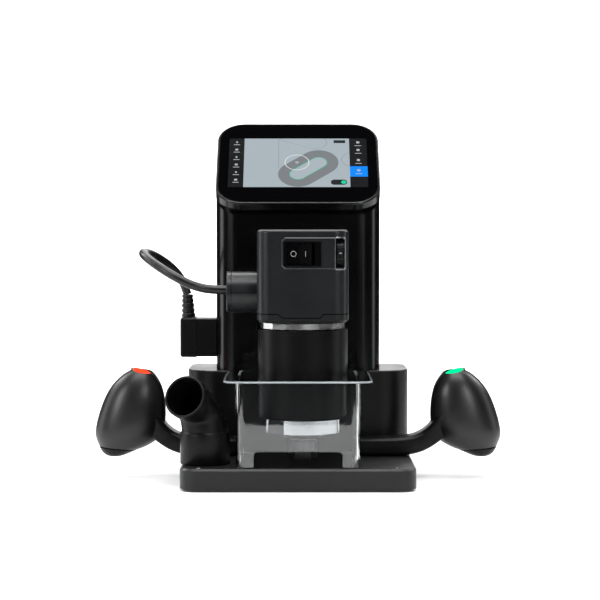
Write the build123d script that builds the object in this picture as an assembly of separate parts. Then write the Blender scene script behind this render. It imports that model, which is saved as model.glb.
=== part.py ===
from build123d import *
from math import cos, radians, sin, tan
import os

# Hand-held CNC router. Millimetres, +Z up, origin at the middle of the sole, -Y is the user's side.

# ---- base ----
base_w, base_d, base_h, base_r = 192.0, 198.0, 18.8, 14.0
sole_t, sole_inset = 2.0, 2.5
rail_front, rail_rear = 8.0, 87.5         # base left in front of and behind the cutter opening
base_chamfer = 1.6
open_half, open_r = 50.0, 8.0
sole_margin = 1.0                            # the sole's opening is this much wider
y_front = -base_d / 2
side = base_w / 2                            # the base's side, from which the handles are placed
pin_x, pin_y, pin_r, pin_depth, pin_proud = side - 16.0, y_front + 6.0, 2.2, 8.0, 0.6
screw_hole_r, screw_head_r, screw_head_t, screw_inset = 1.6, 3.0, 2.0, 8.5
screw_spots = [(x, y) for x in (screw_inset - side, side - screw_inset) for y in (40.0, 84.0)]

# ---- rear housing, tower and display ----
wall = 2.5
edge = 0.8                                   # small chamfer of the housings
block_y0, block_y1, block_top = 13.0, 96.0, 89.2
block_r_front, block_r_rear = 26.0, 12.0
tower_w, tower_r = 142.0, 20.0
tower_y0, tower_y1 = block_y0, block_y1
face_y, face_z, face_tilt = 9.0, 233.3, 50.0   # lower edge of the display and its lean from upright
face_w, face_h, face_t, face_r = 143.0, 113.0, 10.0, 24.0
glass_w, glass_h, glass_t = 138.0, 108.0, 1.2
panel_w, panel_h, panel_t = 124.0, 72.0, 2.4
panel_up = 56.6                              # display centre up the slope
face_edge, glass_gap, glass_drop = 1.4, 0.2, 0.1
glass_r = face_r - 2.6

# ---- camera, mains inlet, board and power supply ----
camera_x, camera_z, camera_w, camera_h, camera_d = 0.0, 262.0, 44.0, 26.0, 16.0
camera_proud, camera_lens_r, lens_depth, lens_proud = 1.0, 7.5, 4.0, 0.8
inlet_x, inlet_z, inlet_w, inlet_h, inlet_d = side - 34.0, 52.0, 28.0, 22.0, 14.0
inlet_rim_x, inlet_rim_z, inlet_proud, prong_r, prong_step = 3.5, 4.0, 1.0, 1.0, 5.5
board_y, board_t, board_half, board_z = 84.0, 1.6, 56.0, (102.0, 222.0)
board_boss_r, board_boss_x, board_boss_z = 3.0, 50.0, (108.0, 216.0)
supply_x0, supply_x1 = 5.0 - side, 30.0 - side
supply_y, supply_z, supply_r = (40.0, 78.0), (42.0, 82.0), 2.0
tray_x0, tray_x1, tray_y, tray_t, tray_leg = 6.0 - side, 28.0 - side, (46.0, 60.0), 3.2, 2.5

# ---- clearances ----
fit = 0.05                                   # shaft in bore, radial
snap = 0.2                                   # pressed trim in its opening, each side
gap = 0.3                                    # between bodies that slide past each other

# ---- gantry ----
spindle_x, spindle_y = 3.9, -39.0            # where the spindle is parked
travel_x, travel_z = 10.0, 43.0
rail_r, screw_r = 4.0, 3.5
x_rail_y, x_rail_z, x_rail_half = (26.0, 70.0), 30.0, side - 13.0
rail_block_t, rail_block_half, rail_block_over = 6.0, 6.0, 7.0
motor_w, motor_len, motor_r, motor_bore = 22.0, 20.0, 2.0, 12.0
x_screw_x0, x_screw_x1 = -62.0, 58.0
bearing_post_w, bearing_post_t, bearing_seat = 14.0, 8.0, 4.0
mast_y = 48.0
slide_w, slide_d, slide_h = 80.0, 60.0, 14.0
lug_t, lug_inset, lug_over = 4.0, 10.0, 7.0
y_rail_dx = 24.0
saddle_w, saddle_d, saddle_h, pad_t = 66.0, 30.0, 13.0, 3.0
y_motor_len, y_motor_drop, y_motor_rise, y_motor_bore = 11.5, 8.5, 11.0, 8.0
column_dx, column_r, column_top, column_foot = 20.0, 5.0, 196.0, 0.5
arm_z0, arm_h, arm_half = 99.0, 27.0, 19.0
arm_block_w, arm_block_d = 58.0, 24.0
bridge_w, bridge_d, bridge_t = 56.0, 22.0, 8.0
plunge_motor_w, plunge_motor_h = 24.0, 22.0
y_rail_z = x_rail_z + slide_h / 2 + 9.0
slot_half = arm_half + travel_x + spindle_x + 2.0
slot_z0, slot_z1 = arm_z0 - travel_z - 3.0, arm_z0 + arm_h + 3.0

# ---- spindle ----
sleeve_r, sleeve_z0, sleeve_z1, sleeve_wall, sleeve_floor = 37.5, 54.7, 128.6, 3.0, 5.0
ring_r, ring_z0, ring_z1, ring_wall = 35.0, sleeve_z1, 135.2, 6.0
head_w, head_z0, head_z1, head_r, head_wall, head_floor = 75.0, ring_z1, 211.0, 12.0, 3.0, 4.0
head_top_edge, head_low_edge = 2.0, 2.5
lower_ring_r, lower_ring_z0, ring_flats = 32.0, 43.0, 8
nose_r, nose_z0, nose_bore_gap, nose_chamfer, nose_in = 17.0, 38.0, 0.5, 2.0, 8.0
shaft_r, shaft_z1, shaft_wall = 6.0, 196.0, 1.5
rotor_r, rotor_z0, rotor_h = 17.0, 70.0, 44.0
fan_r, fan_z0, fan_h = 26.0, 120.0, 6.0
stator_z0, stator_h, air_gap = 68.0, 48.0, 0.5
bearing_r, bearing_t, spigot_wall, spigot_drop = 13.0, 8.0, 4.0, 14.0
nut_r, nut_z0, nut_z1, nut_hex_h = 13.0, 21.0, 36.0, 7.0
bore_r, bore_depth = 3.175, 24.0

# ---- switches ----
rocker_x, rocker_w, rocker_z, rocker_h = 2.35, 22.0, 191.6, 16.6
rocker_pivot, rocker_tilt, rocker_deep, pivot_r = 10.0, 14.0, 12.0, 1.5
recess_x0, recess_x1, recess_h = rocker_x - rocker_w / 2 - 3.0, rocker_x + rocker_w / 2 + 5.5, 20.2
recess_depth, tub_depth, tub_proud, tub_hole = 20.0, 18.0, 0.8, 15.0
dial_x, dial_r, dial_t, dial_z, dial_proud = 34.4, 11.6, 5.2, 192.0, 2.0
dial_side, dial_over, notch_r, notch_step, axle_r, axle_len = 1.0, 1.2, 0.7, 15, 2.0, 5.0

# ---- lead outlet ----
exit_r, exit_z, exit_y = 17.1, 159.2, -37.0
exit_x0, exit_x1, exit_x2 = -33.6, -55.0, -59.2
exit_wall, exit_split, exit_lap, exit_edge = 3.0, 0.25, 0.6, 0.8
lead_d = 7.5
lead_route = (
    (-59.2, -37, 160.9), (-73, -37, 160.9), (-88, -39.5, 164.5), (-104, -38.5, 172.5),
    (-119, -30, 181.5), (-131, -13, 189.5), (-132.5, 8, 192), (-124, 27, 188.5),
    (-110, 38.5, 178), (-100.5, 41.5, 166), (-96.7, 41, 154),
)
plug_x0, plug_x1, plug_z0, plug_z1, plug_y, plug_d, plug_r = -102.7, -88.3, 99.7, 134.3, 41.0, 26.0, 2.4
socket_drop, socket_in, socket_edge = 1.2, 0.5, 2.0
boot_top_r, boot_low_r, boot_shift = 4.8, 6.0, 1.0
slit_first, slit_step, slit_h, slit_count = 5.0, 4.0, 1.6, 3

# ---- handles ----
arm_y0, arm_y1, arm_top, arm_edge = -18.0, block_y0, 34.8, 2.0
arm_w, arm_thick, arm_corner = 27.0, 15.6, 5.0
# middle line of the arm's upsweep: distance outwards from the base's side, and height
arm_line = ((0.0, 26.8), (12.0, 30.5), (21.0, 38.5), (28.0, 47.0))
arm_foot_end = 2.0                           # the straight foot ends this far beyond the base's side
grip_y, grip_depth, grip_share, grip_widest = -3.0, 45.0, 0.9, 29.3
# height, middle outwards from the base's side, and half width of the grip, from its low rim to its crown
grip_rings = (
    (17.4, 60.5, 4.0), (20.0, 60.0, 10.5), (25.7, 57.0, 16.6), (31.6, 53.0, 23.4),
    (38.2, 48.6, 28.3), (50.0, 45.7, 29.3), (63.0, 44.0, 27.0), (73.0, 42.4, 24.0),
    (81.0, 41.0, 19.6), (88.0, 39.4, 13.4), (92.6, 38.2, 7.4),
)
button_r, button_travel, button_lean, button_tip = 7.8, 1.5, 17.0, 8.0
button_out, button_back, button_z, button_h, button_edge = 37.2, 1.5, 89.9, 8.0, 0.8
bezel_w, bezel_h, bezel_depth, well_depth = 1.7, 3.4, 3.2, 9.0

# ---- dust port ----
port_foot = (19.5 - side, -61.0)
port_r, port_wall, port_crease, port_edge = 20.7, 2.2, 46.0, 0.8
column_over = 0.9                            # the column's radius beyond the spout's
mouth = (4.0 - side, -86.5, 76.5)
mouth_axis = (-0.364, -0.857, 0.364)
mouth_r, mouth_len = 17.6, 30.0
socket_r, socket_depth = 15.6, 12.0          # seat for the hose cuff inside the spout

# ---- clear shield ----
shield_half, shield_t = 50.3, 2.3
shield_front, shield_back = y_front + 5.6, 11.5
shield_top, shield_lip, shield_low, shield_r = 88.0, 10.0, 32.2, 8.0
lip_front, lip_r, lip_t, lip_drop = y_front + 2.0, 12.0, 1.7, 0.2
window_half, window_r, side_gap_top, leg_depth = 36.0, 4.0, 28.2, 16.0
shield_lift = 0.2                            # the shield hangs this far above the base

ALIGN_LOW = (Align.CENTER, Align.CENTER, Align.MIN)


def box(x0, x1, y0, y1, z0, z1):
    return Pos((x0 + x1) / 2, (y0 + y1) / 2, (z0 + z1) / 2) * Box(x1 - x0, y1 - y0, z1 - z0)


def rod(axis, r, start, end, at):
    """A round bar along one axis, from start to end, at the other two coordinates."""
    turn = {"X": Rot(0, 90, 0), "Y": Rot(-90, 0, 0), "Z": Rot(0, 0, 0)}[axis]
    mid = (start + end) / 2
    where = {"X": (mid, at[0], at[1]), "Y": (at[0], mid, at[1]), "Z": (at[0], at[1], mid)}[axis]
    return Pos(*where) * turn * Cylinder(r, end - start)


def slab(w, d, r, z0, z1, x=0.0, y=0.0):
    return Pos(x, y, z0) * extrude(RectangleRounded(w, d, r), z1 - z0)


def group(*solids):
    return Compound(children=list(solids))


def mirrored(shape):
    return mirror(shape, about=Plane.YZ)


# ---------------------------------------------------------------- base

def opening_cut(margin=0.0):
    y0, y1 = y_front + rail_front - margin, base_d / 2 - rail_rear + margin
    return slab(2 * (open_half + margin), y1 - y0, open_r, -1, base_h + 1, y=(y0 + y1) / 2)


def base_plate():
    plate = slab(base_w, base_d, base_r, sole_t, base_h)
    plate = chamfer(plate.edges().group_by(Axis.Z)[-1], base_chamfer)
    plate -= opening_cut()
    for x, y in screw_spots:
        plate -= rod("Z", screw_hole_r, sole_t, base_h, (x, y))
    for x in (-pin_x, pin_x):
        plate -= rod("Z", pin_r + fit, base_h - pin_depth, base_h, (x, pin_y))
    return plate


def base_sole():
    w, d = base_w - 2 * sole_inset, base_d - 2 * sole_inset
    return slab(w, d, base_r - sole_inset, 0, sole_t) - opening_cut(sole_margin)


def base_pins():
    z0, z1 = base_h - pin_depth, base_h + pin_proud
    return group(*[rod("Z", pin_r, z0, z1, (x, pin_y)) for x in (-pin_x, pin_x)])


def base_screws():
    screws = []
    for x, y in screw_spots:
        shank = rod("Z", screw_hole_r - fit, sole_t + 1.0, base_h, (x, y))
        screws.append(shank + rod("Z", screw_head_r, base_h, base_h + screw_head_t, (x, y)))
    return group(*screws)


# ---------------------------------------------------------------- handles

def arm_path():
    """Middle line of one arm, seen from the user's side."""
    with BuildLine(Plane.XZ) as line:
        Spline(*[(side + out, z) for out, z in arm_line], tangents=((1, 0.1), (0.75, 0.75)))
    return line.line


def grip_egg():
    rings = []
    for z, out, half in grip_rings:
        depth = grip_depth / 2 * (half / grip_widest) ** grip_share
        rings.append(Pos(side + out, grip_y, z) * Ellipse(half, depth))
    return loft(rings)


def button_place(lift=0.0):
    """The button's place on the grip's crown: up is the way the button moves."""
    crown = Pos(side + button_out, grip_y - button_back, button_z)
    return crown * Rot(button_tip, -button_lean, 0) * Pos(0, 0, lift)


def handle_arm():
    foot = box(open_half + gap, side + arm_foot_end, arm_y0, arm_y1 - gap, base_h, arm_top)
    foot = fillet(foot.edges().filter_by(Axis.Y).group_by(Axis.Z)[-1], arm_edge)
    path = arm_path()
    start = Plane(path @ 0, x_dir=(0, 1, 0), z_dir=path % 0)
    section = start * RectangleRounded(arm_w, arm_thick, arm_corner)
    return foot + sweep(section, path=path) - grip_egg()


def grip():
    seat = button_place(-bezel_depth) * Cylinder(button_r + gap + bezel_w + fit, 30, align=ALIGN_LOW)
    well = button_place(-well_depth) * Cylinder(button_r + gap, 30, align=ALIGN_LOW)
    return grip_egg() - seat - well


def button_bezel():
    ring = Cylinder(button_r + gap + bezel_w, bezel_h, align=ALIGN_LOW)
    return button_place(-bezel_depth) * (ring - Cylinder(button_r + gap, bezel_h, align=ALIGN_LOW))


def button():
    cap = Cylinder(button_r, button_h, align=ALIGN_LOW)
    cap = fillet(cap.edges().group_by(Axis.Z)[-1], button_edge)
    return button_place(button_travel + gap - well_depth) * cap


# ---------------------------------------------------------------- housings

def rounded_plan(x_half, y0, y1, r_front, r_rear):
    """Plan outline with one radius at the front corners and another at the rear ones."""
    plan = Pos(0, (y0 + y1) / 2) * Rectangle(2 * x_half, y1 - y0)
    plan = fillet(plan.vertices().group_by(Axis.Y)[0], r_front)
    return fillet(plan.vertices().group_by(Axis.Y)[-1], r_rear)


def slot_cut():
    return box(-slot_half, slot_half, tower_y0 - 6, tower_y0 + wall + 3, slot_z0, slot_z1)


def tower_inside(z0, z1):
    plan = rounded_plan(tower_w / 2 - wall, tower_y0 + wall, tower_y1 - wall, tower_r - wall, tower_r - wall)
    return Pos(0, 0, z0) * extrude(plan, z1 - z0)


def rear_housing():
    outer = Pos(0, 0, base_h) * extrude(
        rounded_plan(base_w / 2, block_y0, block_y1, block_r_front, block_r_rear), block_top - base_h)
    outer = chamfer(outer.edges().group_by(Axis.Z)[-1], edge)
    inner = Pos(0, 0, base_h - 1) * extrude(
        rounded_plan(base_w / 2 - wall, block_y0 + wall, block_y1 - wall,
                     block_r_front - wall, block_r_rear - wall), block_top - base_h + 1 - wall)
    shell = outer - inner - slot_cut() - tower_inside(block_top - 10, block_top + 10)
    return shell - Pos(inlet_x, block_y1, inlet_z) * Box(inlet_w, 4 * wall, inlet_h)


def face_plane(lift=0.0):
    """Plane of the display's front, its X across and its Y up the slope."""
    lean = radians(face_tilt)
    up = Vector(0, sin(lean), cos(lean))
    out = Vector(0, -cos(lean), sin(lean))
    middle = Vector(0, face_y, face_z) + up * (face_h / 2) + out * lift
    return Plane(middle, x_dir=(1, 0, 0), z_dir=out)


def tower_shell():
    plan = rounded_plan(tower_w / 2, tower_y0, tower_y1, tower_r, tower_r)
    outer = Pos(0, 0, block_top) * extrude(plan, 240.0)
    shell = outer - tower_inside(block_top - 5, block_top + 250)
    above = face_plane(-face_t) * Pos(0, 0, 150) * Box(400, 400, 300)
    shell = shell - above - slot_cut()
    shell -= Pos(camera_x, tower_y1, camera_z) * Box(camera_w, 4 * wall, camera_h)
    for x in (-board_boss_x, board_boss_x):
        for z in board_boss_z:
            shell += rod("Y", board_boss_r, board_y + board_t, tower_y1 - wall / 2, (x, z))
    return shell


def display_bezel():
    plate = extrude(face_plane(-face_t) * RectangleRounded(face_w, face_h, face_r), face_t)
    front = plate.faces().sort_by(Axis(Vector(0, 0, 0), face_plane().z_dir))[-1]
    plate = fillet(front.edges(), face_edge)
    pocket = extrude(face_plane(-glass_t - gap) * RectangleRounded(
        glass_w + 2 * glass_gap, glass_h + 2 * glass_gap, glass_r + glass_gap), glass_t + gap + 1)
    drop = panel_up - face_h / 2
    window = Rectangle(panel_w + 2 * gap, panel_h + 2 * gap)
    well = extrude(face_plane(-face_t - 1) * Pos(0, drop) * window, face_t + 1)
    return (plate - pocket - well) & box(-100, 100, -50, tower_y1, 0, 400)


def display_glass():
    return extrude(face_plane(-glass_t - glass_drop) * RectangleRounded(glass_w, glass_h, glass_r), glass_t)


def display_panel():
    drop = panel_up - face_h / 2
    place = face_plane(-glass_t - gap - panel_t) * Pos(0, drop)
    return extrude(place * Rectangle(panel_w, panel_h), panel_t)


def camera_housing():
    y1 = tower_y1 + camera_proud
    body = Box(camera_w - 2 * snap, camera_d, camera_h - 2 * snap)
    body = Pos(camera_x, y1 - camera_d / 2, camera_z) * body
    return body - rod("Y", camera_lens_r + fit, tower_y1 - lens_depth, y1 + 1, (camera_x, camera_z))


def camera_lens():
    lens = rod("Y", camera_lens_r, tower_y1 - lens_depth, tower_y1 + lens_proud, (camera_x, camera_z))
    return fillet(lens.edges().group_by(Axis.Y)[-1], 0.6)


def mains_inlet():
    y1 = block_y1 + inlet_proud
    body = Pos(inlet_x, y1 - inlet_d / 2, inlet_z) * Box(inlet_w - 2 * snap, inlet_d, inlet_h - 2 * snap)
    hollow = Box(inlet_w - 2 * inlet_rim_x, 16, inlet_h - 2 * inlet_rim_z)
    hollow = Pos(inlet_x, block_y1 + 1, inlet_z) * hollow
    prongs = [rod("Y", prong_r, block_y1 - 8, block_y1 - 1, (inlet_x + step * prong_step, inlet_z))
              for step in (-1, 0, 1)]
    return body - hollow + prongs


def main_board():
    return box(-board_half, board_half, board_y, board_y + board_t, *board_z)


def power_supply():
    unit = box(supply_x0, supply_x1, *supply_y, *supply_z)
    return fillet(unit.edges().filter_by(Axis.Y), supply_r)


def power_tray():
    """Floor tray on which the supply stands, clear of the rails below it."""
    floor = box(tray_x0, tray_x1, *tray_y, base_h, base_h + tray_t)
    return floor + box(tray_x0, tray_x0 + tray_leg, *tray_y, base_h + tray_t, supply_z[0])


# ---------------------------------------------------------------- gantry

def x_rails():
    return group(*[rod("X", rail_r, -x_rail_half, x_rail_half, (y, x_rail_z)) for y in x_rail_y])


def x_rail_supports():
    blocks = []
    for end in (-1, 1):
        x0, x1 = sorted((end * (x_rail_half - rail_block_t), end * x_rail_half))
        for y in x_rail_y:
            block = box(x0, x1, y - rail_block_half, y + rail_block_half, base_h, x_rail_z + rail_block_over)
            blocks.append(block - rod("X", rail_r, x0 - 1, x1 + 1, (y, x_rail_z)))
    return group(*blocks)


def x_motor():
    can = box(x_screw_x1, x_screw_x1 + motor_len, mast_y - motor_w / 2, mast_y + motor_w / 2,
              base_h, x_rail_z + motor_w / 2)
    can = fillet(can.edges().filter_by(Axis.X), motor_r)
    return can - rod("X", screw_r + fit, x_screw_x1 - 1, x_screw_x1 + motor_bore, (mast_y, x_rail_z))


def x_lead_screw():
    return rod("X", screw_r, x_screw_x0 + bearing_seat, x_screw_x1 + motor_bore, (mast_y, x_rail_z))


def x_screw_bearing():
    half = bearing_post_w / 2
    post = box(x_screw_x0, x_screw_x0 + bearing_post_t, mast_y - half, mast_y + half,
               base_h, x_rail_z + rail_block_over + 1)
    return post - rod("X", screw_r + fit, x_screw_x0 + bearing_seat, x_screw_x0 + bearing_post_t + 1,
                      (mast_y, x_rail_z))


def cross_slide():
    x0, x1 = spindle_x - slide_w / 2, spindle_x + slide_w / 2
    y0, y1 = mast_y - slide_d / 2, mast_y + slide_d / 2
    z0, z1 = x_rail_z - slide_h / 2, x_rail_z + slide_h / 2
    body = box(x0, x1, y0, y1, z0, z1)
    for y in (y0, y1 - lug_t):
        body += box(x0 + lug_inset, x1 - lug_inset, y, y + lug_t, z1, y_rail_z + lug_over)
    for y in x_rail_y:
        body -= rod("X", rail_r + fit, x0 - 1, x1 + 1, (y, x_rail_z))
    body -= rod("X", screw_r + fit, x0 - 1, x1 + 1, (mast_y, x_rail_z))
    for dx in (-y_rail_dx, y_rail_dx):
        body -= rod("Y", rail_r, y0 - 1, y1 + 1, (spindle_x + dx, y_rail_z))
    return body - rod("Y", screw_r + fit, y0 + lug_t / 2, y1 + 1, (spindle_x, y_rail_z))


def y_rails():
    y0, y1 = mast_y - slide_d / 2, mast_y + slide_d / 2
    return group(*[rod("Y", rail_r, y0, y1, (spindle_x + dx, y_rail_z)) for dx in (-y_rail_dx, y_rail_dx)])


def y_motor():
    y1 = mast_y + slide_d / 2
    can = box(spindle_x - motor_w / 2, spindle_x + motor_w / 2, y1, y1 + y_motor_len,
              y_rail_z - y_motor_drop, y_rail_z + y_motor_rise)
    return can - rod("Y", screw_r + fit, y1 - 1, y1 + y_motor_bore, (spindle_x, y_rail_z))


def y_lead_screw():
    y0, y1 = mast_y - slide_d / 2, mast_y + slide_d / 2
    return rod("Y", screw_r, y0 + lug_t / 2 + gap, y1 + y_motor_bore - gap, (spindle_x, y_rail_z))


def saddle():
    z0 = y_rail_z - saddle_h / 2
    body = box(spindle_x - saddle_w / 2, spindle_x + saddle_w / 2,
               mast_y - saddle_d / 2, mast_y + saddle_d / 2, z0, z0 + saddle_h)
    for dx in (-y_rail_dx, y_rail_dx):
        body -= rod("Y", rail_r + fit, mast_y - saddle_d, mast_y + saddle_d, (spindle_x + dx, y_rail_z))
    body -= rod("Y", screw_r + fit, mast_y - saddle_d, mast_y + saddle_d, (spindle_x, y_rail_z))
    top = z0 + saddle_h
    for dx in (-column_dx, column_dx):
        x0, x1 = sorted((spindle_x + dx * 0.37, spindle_x + dx * 1.07))
        body += box(x0, x1, mast_y - column_r - 3, mast_y + column_r + 3, top, top + pad_t)
        body -= rod("Z", column_r, top - column_foot, top + pad_t + 1, (spindle_x + dx, mast_y))
    return body


def plunge_columns():
    foot = y_rail_z + saddle_h / 2 - column_foot
    rods = [rod("Z", column_r, foot, column_top, (spindle_x + dx, mast_y)) for dx in (-column_dx, column_dx)]
    return group(*rods)


def column_bridge():
    plate = box(spindle_x - bridge_w / 2, spindle_x + bridge_w / 2,
                mast_y - bridge_d / 2, mast_y + bridge_d / 2, column_top - bridge_t, column_top)
    for dx in (-column_dx, column_dx):
        plate -= rod("Z", column_r, column_top - bridge_t - 1, column_top + 1, (spindle_x + dx, mast_y))
    return plate - rod("Z", screw_r + fit, column_top - bridge_t - 1, column_top + 1, (spindle_x, mast_y))


def plunge_motor():
    can = slab(plunge_motor_w, plunge_motor_w, motor_r + 1, column_top, column_top + plunge_motor_h,
               spindle_x, mast_y)
    return can - rod("Z", screw_r + fit, column_top - 1, column_top + motor_bore, (spindle_x, mast_y))


def plunge_screw():
    foot = y_rail_z + saddle_h / 2 + gap
    return rod("Z", screw_r, foot, column_top + motor_bore - gap, (spindle_x, mast_y))


# ---------------------------------------------------------------- spindle

def spindle_arm():
    z1 = arm_z0 + arm_h
    block = box(spindle_x - arm_block_w / 2, spindle_x + arm_block_w / 2,
                mast_y - arm_block_d / 2, mast_y + arm_block_d / 2, arm_z0, z1)
    tongue = box(spindle_x - arm_half, spindle_x + arm_half, spindle_y, mast_y, arm_z0, z1)
    body = block + tongue - rod("Z", sleeve_r, arm_z0 - 1, z1 + 1, (spindle_x, spindle_y))
    for dx in (-column_dx, column_dx):
        body -= rod("Z", column_r + fit, arm_z0 - 1, z1 + 1, (spindle_x + dx, mast_y))
    return body - rod("Z", screw_r + fit, arm_z0 - 1, z1 + 1, (spindle_x, mast_y))


def at_spindle(z):
    return Pos(spindle_x, spindle_y, z)


def motor_sleeve():
    tube = at_spindle(sleeve_z0) * Cylinder(sleeve_r, sleeve_z1 - sleeve_z0, align=ALIGN_LOW)
    tube = fillet(tube.edges().group_by(Axis.Z)[0], sleeve_wall)
    bore = at_spindle(sleeve_z0 + sleeve_floor) * Cylinder(
        sleeve_r - sleeve_wall, sleeve_z1 - sleeve_z0, align=ALIGN_LOW)
    return tube - bore - at_spindle(sleeve_z0 - 1) * Cylinder(nose_r, sleeve_floor + 5, align=ALIGN_LOW)


def upper_ring():
    ring = Cylinder(ring_r, ring_z1 - ring_z0, align=ALIGN_LOW)
    return at_spindle(ring_z0) * (ring - Cylinder(ring_r - ring_wall, ring_z1 - ring_z0, align=ALIGN_LOW))


def lower_ring():
    """Polished ring with flats, under the sleeve."""
    h = sleeve_z0 - lower_ring_z0
    turn = 180 / ring_flats
    across = lower_ring_r * (1 + cos(radians(turn))) / 2
    flats = extrude(RegularPolygon(across, ring_flats, major_radius=False, rotation=turn), h)
    ring = flats & Cylinder(lower_ring_r, h, align=ALIGN_LOW)
    return at_spindle(lower_ring_z0) * (ring - Cylinder(nose_r, h, align=ALIGN_LOW))


def spindle_nose():
    h = sleeve_z0 + nose_in - nose_z0
    nose = Cylinder(nose_r, h, align=ALIGN_LOW)
    nose = chamfer(nose.edges().group_by(Axis.Z)[0], nose_chamfer)
    return at_spindle(nose_z0) * (nose - Cylinder(shaft_r + nose_bore_gap, h, align=ALIGN_LOW)
                                  - Pos(0, 0, bearing_t) * Cylinder(bearing_r, h, align=ALIGN_LOW))


def spindle_bearings():
    rings = []
    for z in (nose_z0 + bearing_t, shaft_z1 - spigot_drop):
        ring = Cylinder(bearing_r, bearing_t, align=ALIGN_LOW)
        ring -= Cylinder(shaft_r + fit, bearing_t, align=ALIGN_LOW)
        rings.append(at_spindle(z) * ring)
    return group(*rings)


def motor_stator():
    core = Cylinder(sleeve_r - sleeve_wall, stator_h, align=ALIGN_LOW)
    return at_spindle(stator_z0) * (core - Cylinder(rotor_r + air_gap, stator_h, align=ALIGN_LOW))


def spindle_shaft():
    foot = nut_z0 + nut_hex_h
    shaft = at_spindle(foot) * Cylinder(shaft_r, shaft_z1 - foot, align=ALIGN_LOW)
    rotor = at_spindle(rotor_z0) * Cylinder(rotor_r, rotor_h, align=ALIGN_LOW)
    fan = at_spindle(fan_z0) * Cylinder(fan_r, fan_h, align=ALIGN_LOW)
    socket = at_spindle(foot - 1) * Cylinder(shaft_r - shaft_wall, nut_z1 - foot + 1, align=ALIGN_LOW)
    return shaft + rotor + fan - socket


def collet():
    body = Cylinder(shaft_r - shaft_wall, nut_z1 - nut_z0 - 1, align=ALIGN_LOW)
    return at_spindle(nut_z0 + 1) * (body - Cylinder(bore_r, bore_depth, align=ALIGN_LOW))


def collet_nut():
    nut = extrude(RegularPolygon(nut_r - 2.0, 6, major_radius=False), nut_hex_h)
    collar = nut_hex_h - 2.0
    nut += Pos(0, 0, collar) * Cylinder(nut_r - 1.0, nut_z1 - nut_z0 - collar, align=ALIGN_LOW)
    hollow = Cylinder(shaft_r - shaft_wall, 40, align=ALIGN_LOW)
    hollow += Pos(0, 0, nut_hex_h) * Cylinder(shaft_r, 40, align=ALIGN_LOW)
    return at_spindle(nut_z0) * (nut - hollow)


def head_front():
    return spindle_y - head_w / 2


def motor_housing():
    h = head_z1 - head_z0
    shell = extrude(RectangleRounded(head_w, head_w, head_r), h)
    shell = fillet(shell.edges().group_by(Axis.Z)[-1], head_top_edge)
    shell = chamfer(shell.edges().group_by(Axis.Z)[0], head_low_edge)
    inside = head_w - 2 * head_wall
    inner = extrude(RectangleRounded(inside, inside, head_r - head_wall), h - 2 * head_floor)
    inner = Pos(0, 0, head_floor) * inner
    shell = shell - inner - Cylinder(ring_r - ring_wall, head_floor + 1, align=ALIGN_LOW)
    shell = at_spindle(head_z0) * shell
    y0 = head_front()
    shell -= box(recess_x0, recess_x1, y0 - 1, y0 + recess_depth,
                 rocker_z - recess_h / 2, rocker_z + recess_h / 2)
    half, tall = dial_t / 2 + dial_side, dial_r + dial_over
    shell -= box(dial_x - half, dial_x + half, y0 - 1, y0 + 2 * dial_r + dial_side,
                 dial_z - tall, dial_z + tall)
    foot = shaft_z1 - spigot_drop
    top = head_z1 - head_floor + edge / 4
    spigot = at_spindle(foot) * Cylinder(bearing_r + spigot_wall, top - foot, align=ALIGN_LOW)
    spigot -= at_spindle(foot - 1) * Cylinder(bearing_r, top - foot - 2 * head_floor + 2, align=ALIGN_LOW)
    return shell + spigot


def switch_frame():
    """Tub of the power switch, with the rocker's opening."""
    y0 = head_front()
    half = recess_h / 2
    tub = box(recess_x0 + snap, recess_x1 - snap, y0 - tub_proud, y0 + tub_depth,
              rocker_z - half + snap, rocker_z + half - snap)
    hole = box(rocker_x - rocker_w / 2 - gap, rocker_x + rocker_w / 2 + gap, y0 - 2, y0 + tub_hole,
               rocker_z - rocker_h / 2 - gap, rocker_z + rocker_h / 2 + gap)
    pivot = rod("Z", pivot_r, rocker_z - half + 1, rocker_z + half - 1, (rocker_x, y0 + rocker_pivot))
    return tub - hole + pivot


def power_rocker():
    """Two faces that meet at a shallow angle, so that one end stands proud at each side."""
    y0 = head_front()
    tip = rocker_w / 2 - 1.0
    heel = rocker_w / 2 - 3.5
    lean = tan(radians(rocker_tilt / 2))
    low = 0.4
    with BuildSketch() as plan:
        with BuildLine():
            Polyline((-tip, low), (0, low + rocker_w / 2 * lean), (tip, low), (heel, rocker_deep),
                     (-heel, rocker_deep), close=True)
        make_face()
    body = Rot(0, 0, -rocker_tilt / 2) * Pos(0, -rocker_pivot) * extrude(plan.sketch, rocker_h)
    body = Pos(rocker_x, y0 + rocker_pivot, rocker_z - rocker_h / 2) * body
    return body - rod("Z", pivot_r + fit, 0, 300, (rocker_x, y0 + rocker_pivot))


def dial_y():
    return head_front() + dial_r - dial_proud


def speed_dial():
    x0, x1 = dial_x - dial_t / 2, dial_x + dial_t / 2
    wheel = rod("X", dial_r, x0, x1, (dial_y(), dial_z))
    for turn in range(0, 360, notch_step):
        wheel -= rod("X", notch_r, x0 - 1, x1 + 1, (dial_y() + dial_r * cos(radians(turn)),
                                                    dial_z + dial_r * sin(radians(turn))))
    return wheel - rod("X", axle_r + fit, x0 - 1, x1 + 1, (dial_y(), dial_z))


def dial_axle():
    """Axle with the bracket that holds it behind the wheel."""
    x0, x1 = dial_x - dial_t / 2 - axle_len, dial_x + dial_t / 2 + dial_side
    axle = rod("X", axle_r, x0, x1, (dial_y(), dial_z))
    return axle + box(x0, x0 + 3.0, dial_y() - 2 * axle_r, dial_y() + dial_r + 4.4,
                      dial_z - 2 * axle_r, dial_z + 2 * axle_r)


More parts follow.
